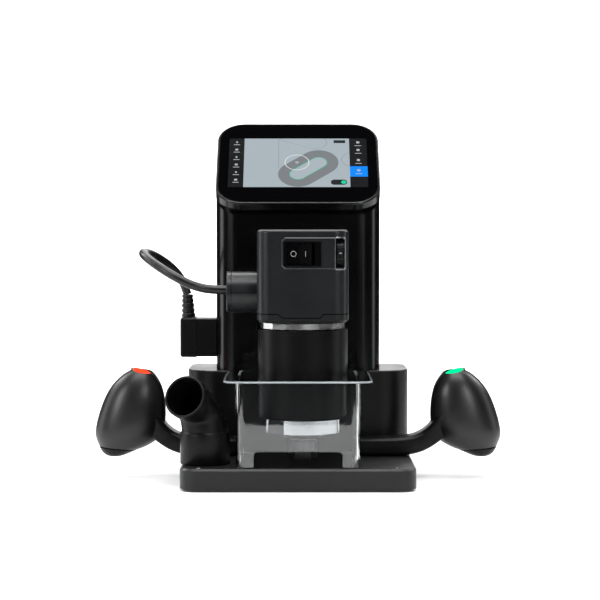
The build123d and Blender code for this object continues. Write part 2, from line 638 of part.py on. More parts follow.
def outlet_halves():
    """Two clamshell halves that meet at mid height."""
    at = (exit_y, exit_z)
    tube = rod("X", exit_r, exit_x1, exit_x0, at)
    tube -= rod("X", exit_r - exit_wall, exit_x1 - 1, exit_x0 + 1, at)
    far = 2 * exit_r
    upper = box(exit_x1 - 5, 0, exit_y - far, exit_y + far, exit_z + exit_split, exit_z + far)
    lower = box(exit_x1 - 5, 0, exit_y - far, exit_y + far, exit_z - far, exit_z - exit_split)
    return group(tube & upper, tube & lower)


def outlet_flange():
    at = (exit_y, exit_z)
    disc = rod("X", exit_r, exit_x2, exit_x1 - exit_lap, at)
    disc = fillet(disc.edges().group_by(Axis.X)[0], exit_edge)
    return disc + rod("X", exit_r - exit_wall - snap, exit_x1 - exit_lap, exit_x0, at)


# ---------------------------------------------------------------- lead and plug

def bends(points):
    """Largest tangent radius for each corner of a route."""
    runs = [Vector(*b) - Vector(*a) for a, b in zip(points, points[1:])]
    radii = []
    for before, after in zip(runs, runs[1:]):
        turn = radians(before.get_angle(after))
        radii.append(0.45 * min(before.length, after.length) / tan(turn / 2))
    return radii


def lead_path():
    return FilletPolyline(*lead_route, radius=bends(lead_route))


def spindle_lead():
    radii = bends(lead_route)
    path = lead_path()
    section = Plane(path @ 0, z_dir=path % 0) * Circle(lead_d / 2)
    tube = sweep(section, path=path)
    print("lead bends", [round(r, 1) for r in radii], "length", round(path.length, 1))
    print("lead volume over section x length", round(tube.volume / (section.area * path.length), 4))
    return tube


def lead_boot():
    """Tapered relief whose top face lies square to the lead."""
    path = lead_path()
    end, low = path @ 1, plug_z1
    cone = loft([Plane(end, z_dir=-(path % 1)) * Circle(boot_top_r),
                 Pos(end.X + boot_shift, plug_y, low) * Circle(boot_low_r)])
    for k in range(slit_count):
        z = low + slit_first + k * slit_step
        for y in (plug_y - boot_low_r, plug_y + boot_low_r):
            cone -= Pos(end.X, y, z) * Box(8, 3.4, slit_h)
    return cone


def lead_plug():
    h = plug_z1 - plug_z0
    w = plug_x1 - plug_x0
    body = Pos((plug_x0 + plug_x1) / 2, plug_y, (plug_z0 + plug_z1) / 2) * Box(w - gap, plug_d, h)
    edges = body.edges()
    outer = edges.filter_by(Axis.Y).group_by(Axis.X)[0] + edges.filter_by(Axis.Z).group_by(Axis.X)[0]
    return fillet(edges.filter_by(Axis.X) + outer, plug_r)


def spindle_socket():
    x1 = -tower_w / 2
    h = plug_z1 - plug_z0 - socket_drop
    body = Box(x1 - plug_x1, plug_d - 2 * socket_in, h)
    body = Pos((plug_x1 + x1) / 2, plug_y, (plug_z0 + plug_z1) / 2) * body
    return fillet(body.edges().filter_by(Axis.X), socket_edge)


# ---------------------------------------------------------------- dust port and shield

def dust_port():
    """Upright duct that turns towards the user: a collar, a leaning column, a round knee and a spout."""
    axis = Vector(*mouth_axis).normalized()
    foot = Vector(*port_foot, base_h)
    knee = Vector(*mouth) - axis * mouth_len
    lean = (knee - foot).normalized()

    def duct(shrink, start, end):
        column = extrude(Plane(foot - lean * start, z_dir=lean) * Circle(mouth_r + column_over - shrink),
                         (knee - foot).length + start)
        spout = extrude(Plane(knee, z_dir=axis) * Circle(mouth_r - shrink), mouth_len + end)
        return column + Pos(*knee) * Sphere(mouth_r + column_over - shrink) + spout

    collar = Pos(*port_foot, base_h) * Cylinder(port_r, port_crease - base_h, align=ALIGN_LOW)
    collar = fillet(collar.edges().group_by(Axis.Z)[-1], port_edge)
    outer = (duct(0, 0, 0) + collar) & box(-2 * side, 0, y_front, 60, base_h, 150)
    cuff = Plane(Vector(*mouth) - axis * socket_depth, z_dir=axis)
    seat = extrude(cuff * Circle(socket_r), socket_depth + 10)
    return outer - duct(port_wall, 10, 10) - seat


def shield_plan(half, front, r):
    """Plan outline, open at the rear, with rounded front corners."""
    back = shield_back
    plan = Pos(0, (front + back) / 2) * Rectangle(2 * half, back - front)
    return fillet(plan.vertices().group_by(Axis.Y)[0], r)


def clear_shield():
    low, top = base_h + shield_lift, shield_top
    outer = shield_plan(shield_half, shield_front, shield_r)
    inner = shield_plan(shield_half - shield_t, shield_front + shield_t, shield_r - shield_t)
    walls = Pos(0, 0, low) * extrude(outer - inner, top - low)
    window = box(-window_half, window_half, shield_front - 5, shield_front + 12, 0, shield_low)
    window = fillet(window.edges().filter_by(Axis.Y).group_by(Axis.Z)[-1], window_r)
    lip = shield_plan(shield_half + shield_lip, lip_front, lip_r)
    flange = Pos(0, 0, top - lip_drop) * extrude(lip - inner, lip_t)
    far = shield_half + 5
    behind = box(-far, far, shield_front + leg_depth, shield_back + 1, 0, side_gap_top)
    return walls - window + flange - behind


NODES = {
    "base_plate": base_plate, "base_sole": base_sole, "base_pins": base_pins, "base_screws": base_screws,
    "handle_arm_right": handle_arm, "handle_arm_left": lambda: mirrored(handle_arm()),
    "grip_right": grip, "grip_left": lambda: mirrored(grip()),
    "button_bezels": lambda: group(button_bezel(), mirrored(button_bezel())),
    "button_right": button, "button_left": lambda: mirrored(button()),
    "rear_housing": rear_housing, "tower_shell": tower_shell, "display_bezel": display_bezel,
    "display_glass": display_glass, "display_panel": display_panel,
    "camera_housing": camera_housing, "camera_lens": camera_lens, "mains_inlet": mains_inlet,
    "main_board": main_board, "power_supply": power_supply,
    "power_tray": power_tray, "x_rails": x_rails, "x_rail_supports": x_rail_supports, "x_motor": x_motor,
    "x_lead_screw": x_lead_screw, "x_screw_bearing": x_screw_bearing,
    "cross_slide": cross_slide, "y_rails": y_rails, "y_motor": y_motor, "y_lead_screw": y_lead_screw,
    "saddle": saddle, "plunge_columns": plunge_columns, "column_bridge": column_bridge,
    "plunge_motor": plunge_motor, "plunge_screw": plunge_screw,
    "spindle_arm": spindle_arm, "motor_sleeve": motor_sleeve, "upper_ring": upper_ring,
    "lower_ring": lower_ring, "spindle_nose": spindle_nose, "spindle_bearings": spindle_bearings,
    "motor_stator": motor_stator, "spindle_shaft": spindle_shaft, "collet": collet, "collet_nut": collet_nut,
    "motor_housing": motor_housing, "switch_frame": switch_frame, "power_rocker": power_rocker,
    "speed_dial": speed_dial, "dial_axle": dial_axle,
    "outlet_halves": outlet_halves, "outlet_flange": outlet_flange,
    "spindle_lead": spindle_lead, "lead_boot": lead_boot, "lead_plug": lead_plug,
    "spindle_socket": spindle_socket, "dust_port": dust_port, "clear_shield": clear_shield,
}

os.makedirs("parts", exist_ok=True)
for name, make in NODES.items():
    export_step(make(), f"parts/{name}.step")
print(len(NODES), "nodes")
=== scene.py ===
from math import cos, pi, radians, sin, sqrt

import bmesh
import bpy
import numpy as np
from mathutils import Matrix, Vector


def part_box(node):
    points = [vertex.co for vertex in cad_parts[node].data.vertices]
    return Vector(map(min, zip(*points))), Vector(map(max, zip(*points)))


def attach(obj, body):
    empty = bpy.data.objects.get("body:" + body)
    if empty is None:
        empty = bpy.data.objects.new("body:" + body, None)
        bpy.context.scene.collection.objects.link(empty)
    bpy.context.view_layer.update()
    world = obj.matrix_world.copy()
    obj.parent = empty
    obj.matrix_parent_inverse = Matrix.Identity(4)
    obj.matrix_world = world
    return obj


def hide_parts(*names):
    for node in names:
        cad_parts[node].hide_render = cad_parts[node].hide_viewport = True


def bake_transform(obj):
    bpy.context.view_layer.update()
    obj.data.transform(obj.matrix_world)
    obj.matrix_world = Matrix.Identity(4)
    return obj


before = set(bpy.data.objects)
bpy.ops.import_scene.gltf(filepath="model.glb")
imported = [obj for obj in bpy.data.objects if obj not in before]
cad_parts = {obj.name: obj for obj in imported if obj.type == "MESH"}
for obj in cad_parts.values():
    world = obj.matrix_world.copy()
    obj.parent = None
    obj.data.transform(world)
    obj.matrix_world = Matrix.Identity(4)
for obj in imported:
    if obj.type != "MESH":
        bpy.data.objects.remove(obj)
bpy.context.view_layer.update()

bl_info = {
    "name": "Hand-held CNC router",
    "version": (1, 0, 0),
    "blender": (4, 5, 0),
    "location": "View3D > Sidebar > Router",
    "description": "Surfaces, finishes and studio for a hand-held CNC router",
    "category": "Add Mesh",
}

MM = 0.001


# ---------------------------------------------------------------- shapes

def put(name, verts, faces, smooth=True):
    """A new object from a vertex array in metres and a list or array of faces."""
    mesh = bpy.data.meshes.new(name)
    mesh.from_pydata(np.asarray(verts, float).reshape(-1, 3), [], [tuple(f) for f in faces])
    mesh.validate()
    mesh.polygons.foreach_set("use_smooth", np.full(len(mesh.polygons), smooth))
    piece = bpy.data.objects.new(name, mesh)
    bpy.context.scene.collection.objects.link(piece)
    return piece


def grid_faces(n, m, wrap, start=0):
    """Quads between n rows of m points; wrap joins the last column to the first."""
    rows, cols = np.mgrid[0:n - 1, 0:m if wrap else m - 1]
    right = (cols + 1) % m
    quads = np.stack([rows * m + cols, rows * m + right, (rows + 1) * m + right, (rows + 1) * m + cols], -1)
    return quads.reshape(-1, 4) + start


def skin(name, rings, ends=True, smooth=True):
    """Closed surface over rings of points, an (n, m, 3) array that runs anticlockwise about its way.

    With ends, each end ring is closed by a fan to its middle; without, the rings close on each other.
    """
    rings = np.asarray(rings, float)
    n, m, _ = rings.shape
    verts = rings.reshape(-1, 3)
    if not ends:
        faces = grid_faces(n + 1, m, True) % (n * m)
        return put(name, verts, faces, smooth)
    faces = list(map(tuple, grid_faces(n, m, True)))
    verts = np.vstack([verts, rings[0].mean(0), rings[-1].mean(0)])
    around = np.arange(m)
    after = (around + 1) % m
    low = np.stack([after, around, np.full(m, n * m)], -1)
    high = np.stack([(n - 1) * m + around, (n - 1) * m + after, np.full(m, n * m + 1)], -1)
    return put(name, verts, faces + list(map(tuple, low)) + list(map(tuple, high)), smooth)


def turns(count):
    """Even angles once round, without the last."""
    return np.linspace(0, 2 * pi, count, endpoint=False)


def bspline(points, count):
    """Clamped cubic B-spline: each point weighed by the basis (1-t)^3, 3t^3-6t^2+4, -3t^3+3t^2+3t+1, t^3 over 6."""
    ctrl = np.asarray(points, float)
    ctrl = np.vstack([2 * ctrl[0] - ctrl[1], ctrl, 2 * ctrl[-1] - ctrl[-2]])
    spans = len(ctrl) - 3
    at = np.linspace(0, spans, count)
    k = np.minimum(at.astype(int), spans - 1)
    t = (at - k)[:, None]
    weights = ((1 - t) ** 3, 3 * t ** 3 - 6 * t ** 2 + 4, -3 * t ** 3 + 3 * t ** 2 + 3 * t + 1, t ** 3)
    return sum(w * ctrl[k + i] for i, w in enumerate(weights)) / 6


def frames(path):
    """Tangent and two normals at each point of a path, with as little twist as a fixed side direction gives."""
    tangent = np.gradient(path, axis=0)
    tangent /= np.linalg.norm(tangent, axis=1)[:, None]
    normal = np.zeros_like(tangent)
    side = np.cross(tangent[0], (0.31, 0.17, 0.93))
    for i, t in enumerate(tangent):
        side = side - t * (side @ t)
        side = side / np.linalg.norm(side)
        normal[i] = side
    return tangent, normal, np.cross(tangent, normal)


def resample(points, stops):
    """Points along a polyline at the distances that stops gives for those of its own points."""
    along = np.concatenate([[0], np.cumsum(np.linalg.norm(np.diff(points, axis=0), axis=1))])
    at = stops(along)
    return np.stack([np.interp(at, along, column) for column in points.T], -1)


def tube(path, radius, sides=32):
    """Rings of the given radius, one number or one for each point, square to a path."""
    path = np.asarray(path, float)
    _, a, b = frames(path)
    turn = turns(sides)[None, :, None]
    radius = np.broadcast_to(np.asarray(radius, float), len(path))[:, None, None]
    return path[:, None] + radius * (np.cos(turn) * a[:, None] + np.sin(turn) * b[:, None])


def lathe(profile, sides, at, z_dir):
    """Rings of a profile of (radius, height) pairs turned about z_dir through the point at."""
    profile = np.asarray(profile, float)
    z = np.asarray(z_dir, float) / np.linalg.norm(z_dir)
    x = np.array((1.0, 0.0, 0.0)) - z * z[0]
    x /= np.linalg.norm(x)
    y = np.cross(z, x)
    turn = turns(sides)[None, :, None]
    ring = np.cos(turn) * x + np.sin(turn) * y
    return np.asarray(at, float) + profile[:, :1, None] * ring + profile[:, 1:, None] * z


def rounded(half_x, half_y, r, per_corner=8):
    """Outline of a rectangle with quarter-circle corners, anticlockwise, as (n, 2) points."""
    turn = np.linspace(0, pi / 2, per_corner)
    corners = []
    for k, (sx, sy) in enumerate(((1, 1), (-1, 1), (-1, -1), (1, -1))):
        angle = turn + k * pi / 2
        corners.append(np.stack([sx * (half_x - r) + r * np.cos(angle), sy * (half_y - r) + r * np.sin(angle)], -1))
    return np.vstack(corners)


def plate(name, outline, place, thick):
    """A flat slab over an outline, laid on a place (origin, across, up), rising by thick along their normal."""
    origin, across, up = (np.asarray(v, float) for v in place)
    base = origin + outline[:, :1] * across + outline[:, 1:] * up
    return skin(name, [base, base + thick * np.cross(across, up)], smooth=False)


def face_out(piece):
    """Turns all faces of a closed piece outwards."""
    work = bmesh.new()
    work.from_mesh(piece.data)
    bmesh.ops.recalc_face_normals(work, faces=work.faces)
    work.to_mesh(piece.data)
    work.free()
    return piece


def read(items, key, width, kind=float):
    """One attribute of all items of a mesh as an array with that many columns."""
    values = np.empty(len(items) * width, kind)
    items.foreach_get(key, values)
    return values.reshape(-1, width)


def merge(name, pieces):
    """One object from several, by stacking their arrays."""
    verts, faces, smooth, start = [], [], [], 0
    for piece in pieces:
        mesh = piece.data
        verts.append(read(mesh.vertices, "co", 3))
        corners = read(mesh.loops, "vertex_index", 1, int)[:, 0] + start
        faces += np.split(corners, read(mesh.polygons, "loop_start", 1, int)[1:, 0])
        smooth.append(read(mesh.polygons, "use_smooth", 1, bool)[:, 0])
        start += len(mesh.vertices)
        bpy.data.objects.remove(piece)
    joined = put(name, np.vstack(verts), [face.tolist() for face in faces])
    joined.data.polygons.foreach_set("use_smooth", np.concatenate(smooth))
    return joined


def apply_modifiers(piece):
    """Writes the piece's evaluated mesh back to it and removes its modifiers."""
    bpy.context.view_layer.update()
    done = bpy.data.meshes.new_from_object(piece.evaluated_get(bpy.context.evaluated_depsgraph_get()))
    piece.modifiers.clear()
    piece.data = done
    return piece


def cut(piece, tool):
    """Takes the tool's solid out of the piece."""
    modifier = piece.modifiers.new("cut", "BOOLEAN")
    modifier.operation, modifier.object, modifier.solver = "DIFFERENCE", tool, "EXACT"
    apply_modifiers(piece)
    bpy.data.objects.remove(tool)
    return piece


def sharpen(piece, angle=30):
    """Smooth shading that breaks at edges sharper than the angle."""
    piece.data.polygons.foreach_set("use_smooth", np.ones(len(piece.data.polygons), bool))
    piece.data.set_sharp_from_angle(angle=radians(angle))
    return piece


# ---------------------------------------------------------------- materials

def linear(hex_colour):
    """An sRGB hex value such as "#1a2b3c" as linear red, green, blue and alpha."""
    value = np.array([int(hex_colour[i:i + 2], 16) for i in (1, 3, 5)]) / 255
    value = np.where(value <= 0.04045, value / 12.92, ((value + 0.055) / 1.055) ** 2.4)
    return (*value, 1.0)


def add(tree, kind, links=(), **settings):
    """Adds a node; settings name its attributes or its input sockets, links are (socket, output) pairs."""
    node = tree.nodes.new(kind)
    for key, value in settings.items():
        socket = node.inputs.get(key.replace("_", " "))
        if socket is not None:
            socket.default_value = value
        else:
            setattr(node, key, value)
    for socket, output in links:
        tree.links.new(output, node.inputs[socket])
    return node


def blank(name):
    """A new material of that name and its emptied node tree."""
    material = bpy.data.materials.new(name)
    material.use_nodes = True
    tree = material.node_tree
    tree.nodes.clear()
    return material, tree


def shade(colour):
    """An sRGB hex value, or the panel's colour under that key, as linear red, green, blue and alpha."""
    return linear(colour) if colour[0] == "#" else tuple(getattr(bpy.context.scene.router_colours, colour))


def coated(name, colour, roughness, grain=0.4, depth=0.01, mottle=0.05, spread=0.12,
           stretch=(1, 1, 1), **shader):
    """A finish with a fine grain of that size in mm, its roughness and colour drifting over some centimetres.

    depth is the grain's height in mm, mottle how far the roughness drifts and spread how far the colour does.
    """
    material, tree = blank(name)
    place = add(tree, "ShaderNodeTexCoord").outputs["Object"]
    mapping = add(tree, "ShaderNodeMapping", [("Vector", place)], Scale=stretch)
    fine = add(tree, "ShaderNodeTexNoise", [("Vector", mapping.outputs[0])], Scale=1 / (grain * MM),
               Detail=3.0, Roughness=0.6)
    broad = add(tree, "ShaderNodeTexNoise", [("Vector", place)], Scale=1 / (28 * MM), Detail=5.0, Roughness=0.65)
    base = shade(colour)
    darker = tuple(c * (1 - spread) for c in base[:3]) + (1.0,)
    lighter = tuple(min(1.0, c * (1 + spread)) for c in base[:3]) + (1.0,)
    tint = add(tree, "ShaderNodeMix", [("Factor", broad.outputs[0])], data_type="RGBA")
    tint.inputs[6].default_value, tint.inputs[7].default_value = darker, lighter
    rough = add(tree, "ShaderNodeMapRange", [("Value", broad.outputs[0])])
    rough.inputs[1].default_value, rough.inputs[2].default_value = 0.3, 0.7
    rough.inputs[3].default_value = max(0.0, roughness - mottle)
    rough.inputs[4].default_value = min(1.0, roughness + mottle)
    bump = add(tree, "ShaderNodeBump", [("Height", fine.outputs[0])], Strength=1.0, Distance=depth * MM)
    surface = add(tree, "ShaderNodeBsdfPrincipled", [
        ("Base Color", tint.outputs[2]), ("Roughness", rough.outputs[0]), ("Normal", bump.outputs[0])])
    for key, value in shader.items():
        surface.inputs[key.replace("_", " ")].default_value = shade(value) if isinstance(value, str) else value
    add(tree, "ShaderNodeOutputMaterial", [("Surface", surface.outputs[0])])
    return material


# each finish by its process: name, colour (sRGB hex, or a key of the panel's colours), roughness, other values
FINISHES = {
    # ABS, spark-eroded mould: a fine even grain breaks up the highlights to a soft grey
    "satin_abs": ("ABS, spark-eroded black", "body", 0.36, dict(
        grain=0.45, depth=0.012, mottle=0.05, Specular_IOR_Level=0.15)),
    # ABS, fine-textured mould, charcoal: a shade lighter than the rest, with soft bright edges
    "charcoal_abs": ("ABS, fine-textured charcoal", "housing", 0.34, dict(
        grain=0.35, depth=0.010, mottle=0.05, Specular_IOR_Level=0.3)),
    # ABS, the same mould on a raised edge, painted paler as a highlight where it catches light
    "painted_highlight_abs": ("ABS, raised edge", "#2e3033", 0.3, dict(grain=0.35, depth=0.006, mottle=0.04)),
    # PC-ABS, polished mould: near black, with mirror edges and a faint flow mark
    "gloss_abs": ("PC-ABS, polished black", "#040405", 0.2, dict(
        grain=9.0, depth=0.003, mottle=0.012, Specular_IOR_Level=0.3)),
    # TPE overmould: satin with one soft highlight, a little paler where hands rub it
    "soft_touch": ("TPE, soft-touch overmould", "grips", 0.38, dict(
        grain=0.6, depth=0.012, mottle=0.03, Specular_IOR_Level=0.45)),
    # UHMW polyethylene, sheet: waxy dark grey
    "glide_sheet": ("UHMW-PE, skived sheet", "#232426", 0.45, dict(
        grain=0.8, depth=0.01, stretch=(0.15, 1, 1))),
    # Aluminium plate, black powder coat: dark grey in light, fine orange peel
    "base_enamel": ("Aluminium, black powder coat", "base", 0.40, dict(
        grain=0.9, depth=0.014, mottle=0.06, Specular_IOR_Level=0.3)),
    # Aluminium tube, satin black anodised: long soft vertical highlights
    "sleeve_coat": ("Aluminium, black anodised", "#050506", 0.34, dict(
        grain=0.5, depth=0.006, mottle=0.04, stretch=(1, 1, 0.2), Specular_IOR_Level=0.12)),
    # PVC lead jacket, extruded: smooth with a soft highlight
    "jacket_pvc": ("PVC, extruded jacket", "#0b0b0c", 0.36, dict(
        grain=1.2, depth=0.02, mottle=0.06, Specular_IOR_Level=0.4)),
    # Aluminium, milled and clear anodised: fine cutter lines one way
    "milled": ("Aluminium, milled and anodised", "#8d9196", 0.34, dict(
        grain=0.5, depth=0.008, stretch=(0.06, 1, 1), Metallic=1.0)),
    # Steel bar, ground: bright with hairlines round the bar
    "ground_steel": ("Steel, ground", "#b4b7bb", 0.24, dict(
        grain=0.4, depth=0.004, stretch=(1, 1, 0.1), Metallic=1.0)),
    # Steel nut, black oxide: dark with an oily sheen
    "black_oxide": ("Steel, black oxide", "#101113", 0.3, dict(grain=0.6, depth=0.006, mottle=0.06)),
    # Stainless steel, polished: mirror with the slightest drift in its gloss
    "polished_steel": ("Stainless steel, polished", "#aaabac", 0.09, dict(
        grain=3.0, depth=0.004, mottle=0.03, spread=0.03, Metallic=1.0)),
    # Stainless steel, fine brushed: bright all round, with soft patches
    "bright_ring": ("Stainless steel, fine brushed", "#eceded", 0.22, dict(
        grain=0.5, depth=0.004, mottle=0.05, spread=0.03, stretch=(1, 1, 0.1), Metallic=1.0)),
    # Steel sheet, zinc plated: dull silver with cloudy spangle
    "zinc_can": ("Steel, zinc plated", "#a0a4a8", 0.42, dict(
        grain=4.0, depth=0.004, mottle=0.1, Metallic=1.0)),
    # Glass-epoxy board, green solder mask over copper: glossy with a fine weave below
    "solder_mask": ("FR4, green solder mask", "#0d4a2a", 0.28, dict(
        grain=0.7, depth=0.02, spread=0.3, stretch=(1, 1, 0.3))),
    # PMMA cap, green, satin, with a painted glow
    "cap_green": ("PMMA, green cap", "start_button", 0.5, dict(
        grain=0.5, depth=0.004, spread=0.05, Specular_IOR_Level=0.0, Emission_Color="start_glow",
        Emission_Strength=0.75)),
    # PMMA cap, signal red, satin, with a painted glow
    "cap_red": ("PMMA, signal red cap", "stop_button", 0.5, dict(
        grain=0.5, depth=0.004, spread=0.05, Specular_IOR_Level=0.0, Emission_Color="stop_glow",
        Emission_Strength=0.75)),
    # Aluminosilicate glass, back-printed black: mirror smooth over deep black
    "cover_glass": ("Glass, back-printed black", "#020203", 0.03, dict(
        grain=12.0, depth=0.002, mottle=0.015, Coat_Weight=1.0, Coat_Roughness=0.02)),
    # Optical glass, coated: dark with a violet cast
    "lens_glass": ("Glass, coated lens", "#0b0a18", 0.03, dict(
        grain=8.0, depth=0.001, mottle=0.01, Coat_Weight=1.0, Coat_Tint="#8f86ff")),
    # Polycarbonate, injection moulded clear: bright edges, faint flow ripples
    "clear_polycarbonate": ("Polycarbonate, clear", "#f2f5f6", 0.008, dict(
        grain=7.0, depth=0.012, mottle=0.008, spread=0.01, Transmission_Weight=1.0, IOR=1.58)),
    # Polycarbonate, flame-polished edge with a painted highlight: a pale, partly clear colour stands in for the
    # light that runs in the sheet and comes out here
    "polished_edge": ("Polycarbonate, polished edge", "#d3dade", 0.2, dict(
        grain=5.0, depth=0.01, mottle=0.05, Transmission_Weight=0.45, IOR=1.58)),
    # Epoxy ink, pad printed, thin grey-white
    "white_print": ("Epoxy ink, grey-white", "#8e9092", 0.5, dict(grain=0.3, depth=0.004, spread=0.04)),
    # Paper, white seamless roll: matt with a hint of tooth
    "seamless_paper": ("Paper, white seamless", "#f4f4f4", 0.85, dict(grain=1.5, depth=0.01, spread=0.005)),
    # Felt, black, in front of the set: keeps the floor out of the upright faces
    "black_felt": ("Felt, black", "#0a0a0a", 0.95, dict(grain=1.0, depth=0.2)),
    # ABS seen down a narrow joint: no light comes back
    "shadow_gap": ("ABS, joint in shadow", "#010101", 0.9, dict(
        grain=0.5, depth=0.004, Specular_IOR_Level=0.0)),
}


# ---------------------------------------------------------------- places taken from the frame

def middle(node):
    low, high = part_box(node)
    return (low + high) / 2


LEAN = radians(50)                         # the display leans back this far from upright
FACE_UP = np.array((0.0, sin(LEAN), cos(LEAN)))
FACE_OUT = np.array((0.0, -cos(LEAN), sin(LEAN)))
ACROSS = np.array((1.0, 0.0, 0.0))
UP = np.array((0.0, 0.0, 1.0))
GLASS_TOP = np.array(middle("display_glass")) + FACE_OUT * 0.6 * MM
LIT_W, LIT_H = 121.8 * MM, 68.5 * MM       # 16:9 lit area
SPINDLE = middle("motor_sleeve")
HEAD_LOW, HEAD_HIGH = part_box("motor_housing")
MOUTH = np.array((-92.0, -86.5, 76.5)) * MM
MOUTH_AXIS = np.array((-0.364, -0.857, 0.364)) / np.linalg.norm((-0.364, -0.857, 0.364))

# control points of the lead's line in metres, from the outlet to the boot
LEAD_ROUTE = [
    (-0.0592, -0.037, 0.1609), (-0.073, -0.037, 0.1609), (-0.088, -0.0395, 0.1645), (-0.104, -0.0385, 0.1725),
    (-0.119, -0.030, 0.1815), (-0.131, -0.013, 0.1895), (-0.1325, 0.008, 0.192), (-0.124, 0.027, 0.1885),
    (-0.110, 0.0385, 0.178), (-0.1005, 0.0415, 0.166), (-0.0967, 0.041, 0.154),
]
LEAD_D = 7.5 * MM

# height, middle and half width of a grip in mm, from its low rim to its crown
GRIP_RINGS = (
    (17.4, 156.5, 0.0), (17.5, 156.5, 5.0), (20.0, 156.0, 11.5), (25.7, 153.0, 17.4), (31.6, 149.0, 24.2),
    (38.2, 144.6, 28.9), (50.0, 141.7, 29.5), (63.0, 140.0, 27.2), (73.0, 138.4, 24.2), (81.0, 137.0, 20.0),
    (88.0, 135.4, 14.0), (92.2, 134.2, 8.0), (92.6, 134.0, 0.0),
)
GRIP_Y, GRIP_DEPTH = -3.0, 22.5
BUTTON_AT = np.array((133.2, -4.5, 89.9)) * MM
BUTTON_BACK, BUTTON_IN = radians(8), radians(17)     # the button leans towards the user and inwards
BUTTON_AXIS = np.array((-sin(BUTTON_IN), -sin(BUTTON_BACK) * cos(BUTTON_IN), cos(BUTTON_BACK) * cos(BUTTON_IN)))
BUTTON_SEAT_R, BUTTON_WELL_R = 9.9 * MM, 8.15 * MM


def finish(piece, body, key, replaced=()):
    """Hangs a piece on its body and gives it that finish."""
    piece.data.materials.clear()
    piece.data.materials.append(material(key))
    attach(piece, body)
    if replaced:
        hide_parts(*replaced)
    return piece


STORE = {}


def material(key):
    """The one material of that finish, made on its first use."""
    if key not in STORE:
        name, colour, roughness, values = FINISHES[key]
        STORE[key] = coated(name, colour, roughness, **values)
    return STORE[key]


# ---------------------------------------------------------------- pieces

NODE_FINISH = {
    "base_enamel": ("base_plate",),
    "glide_sheet": ("base_sole",),
    "satin_abs": ("handle_arm_right", "handle_arm_left", "button_bezels", "rear_housing", "camera_housing",
                "mains_inlet", "power_tray", "speed_dial", "dial_axle", "lead_plug", "spindle_socket"),
    "charcoal_abs": ("motor_housing", "outlet_halves", "outlet_flange"),
    "gloss_abs": ("tower_shell", "display_bezel", "switch_frame", "power_rocker"),
    "cover_glass": ("display_glass", "display_panel"),
    "lens_glass": ("camera_lens",),
    "solder_mask": ("main_board",),
    "zinc_can": ("power_supply", "x_motor", "y_motor", "plunge_motor", "motor_stator"),
    "milled": ("x_rail_supports", "x_screw_bearing", "cross_slide", "saddle", "column_bridge", "spindle_arm"),
    "ground_steel": ("base_pins", "base_screws", "x_rails", "x_lead_screw", "y_rails", "y_lead_screw",
                   "plunge_columns", "plunge_screw", "spindle_shaft", "collet", "spindle_bearings"),
    "black_oxide": ("collet_nut",),
    "sleeve_coat": ("motor_sleeve", "spindle_nose"),
    "polished_steel": ("upper_ring", "lower_ring"),
    "cap_green": ("button_right",),
    "cap_red": ("button_left",),
    "clear_polycarbonate": ("clear_shield",),
}


def dress_nodes():
    """Gives every CAD node the finish of its real material."""
    for key, nodes in NODE_FINISH.items():
        for node in nodes:
            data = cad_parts[node].data
            data.materials.clear()
            data.materials.append(material(key))


def lead_line(count=241):
    """Points read off the NURBS line that has the route's points as its control points."""
    curve = bpy.data.curves.new("lead_line", "CURVE")
    curve.dimensions = "3D"
    curve.resolution_u = 24
    spline = curve.splines.new("NURBS")
    spline.points.add(len(LEAD_ROUTE) - 1)
    for point, place in zip(spline.points, LEAD_ROUTE):
        point.co = (*place, 1.0)
    spline.order_u = 3
    spline.use_endpoint_u = True
    holder = bpy.data.objects.new("lead_line", curve)
    bpy.context.scene.collection.objects.link(holder)
    bpy.context.view_layer.update()
    line = bpy.data.meshes.new_from_object(holder)
    points = np.array([v.co for v in line.vertices])
    bpy.data.objects.remove(holder)
    bpy.data.meshes.remove(line)
    length = np.linalg.norm(np.diff(points, axis=0), axis=1).sum()
    return resample(points, lambda along: np.linspace(0, along[-1], count)), length


LEAD_PARTS = (("lead_near", "carriage", "saddle", 0.0, 0.38), ("lead_turn", "saddle", "cross_slide", 0.38, 0.70),
              ("lead_far", "cross_slide", "frame", 0.70, 1.0))


def make_lead(diameter):
    """The lead in three stretches of one smooth tube."""
    line, length = lead_line()
    count = len(line) - 1
    _, a, b = frames(line)
    turn = turns(28)[None, :, None]
    rings = line[:, None] + diameter / 2 * (np.cos(turn) * a[:, None] + np.sin(turn) * b[:, None])
    for name, body_a, body_b, start, end in LEAD_PARTS:
        i, j = round(start * count), round(end * count)
        piece = skin(name, rings[i:j + 1])
        piece.data.materials.append(material("jacket_pvc"))
        face_out(piece)
        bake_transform(piece)
        if name == "lead_near":
            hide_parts("spindle_lead")


def make_boot():
    """Tapered relief: the radius falls evenly towards the lead and dips in a ring every 4 mm."""
    low, high = np.array((-95.7, 41.0, 134.3)) * MM, np.array(LEAD_ROUTE[-1])
    t = np.linspace(0, 1, 120)
    radius = (6.0 - 1.2 * t) * MM
    radius -= 0.7 * MM * np.clip(np.cos(2 * pi * (t * 4.6 + 0.1)) - 0.55, 0, 1) / 0.45 * (t > 0.12) * (t < 0.92)
    radius -= 0.5 * MM * np.clip((t - 0.97) / 0.03, 0, 1) ** 2
    piece = skin("lead_boot_ribbed", tube(low + t[:, None] * (high - low), radius, 48))
    face_out(piece)
    finish(piece, "frame", "jacket_pvc", ["lead_boot"])


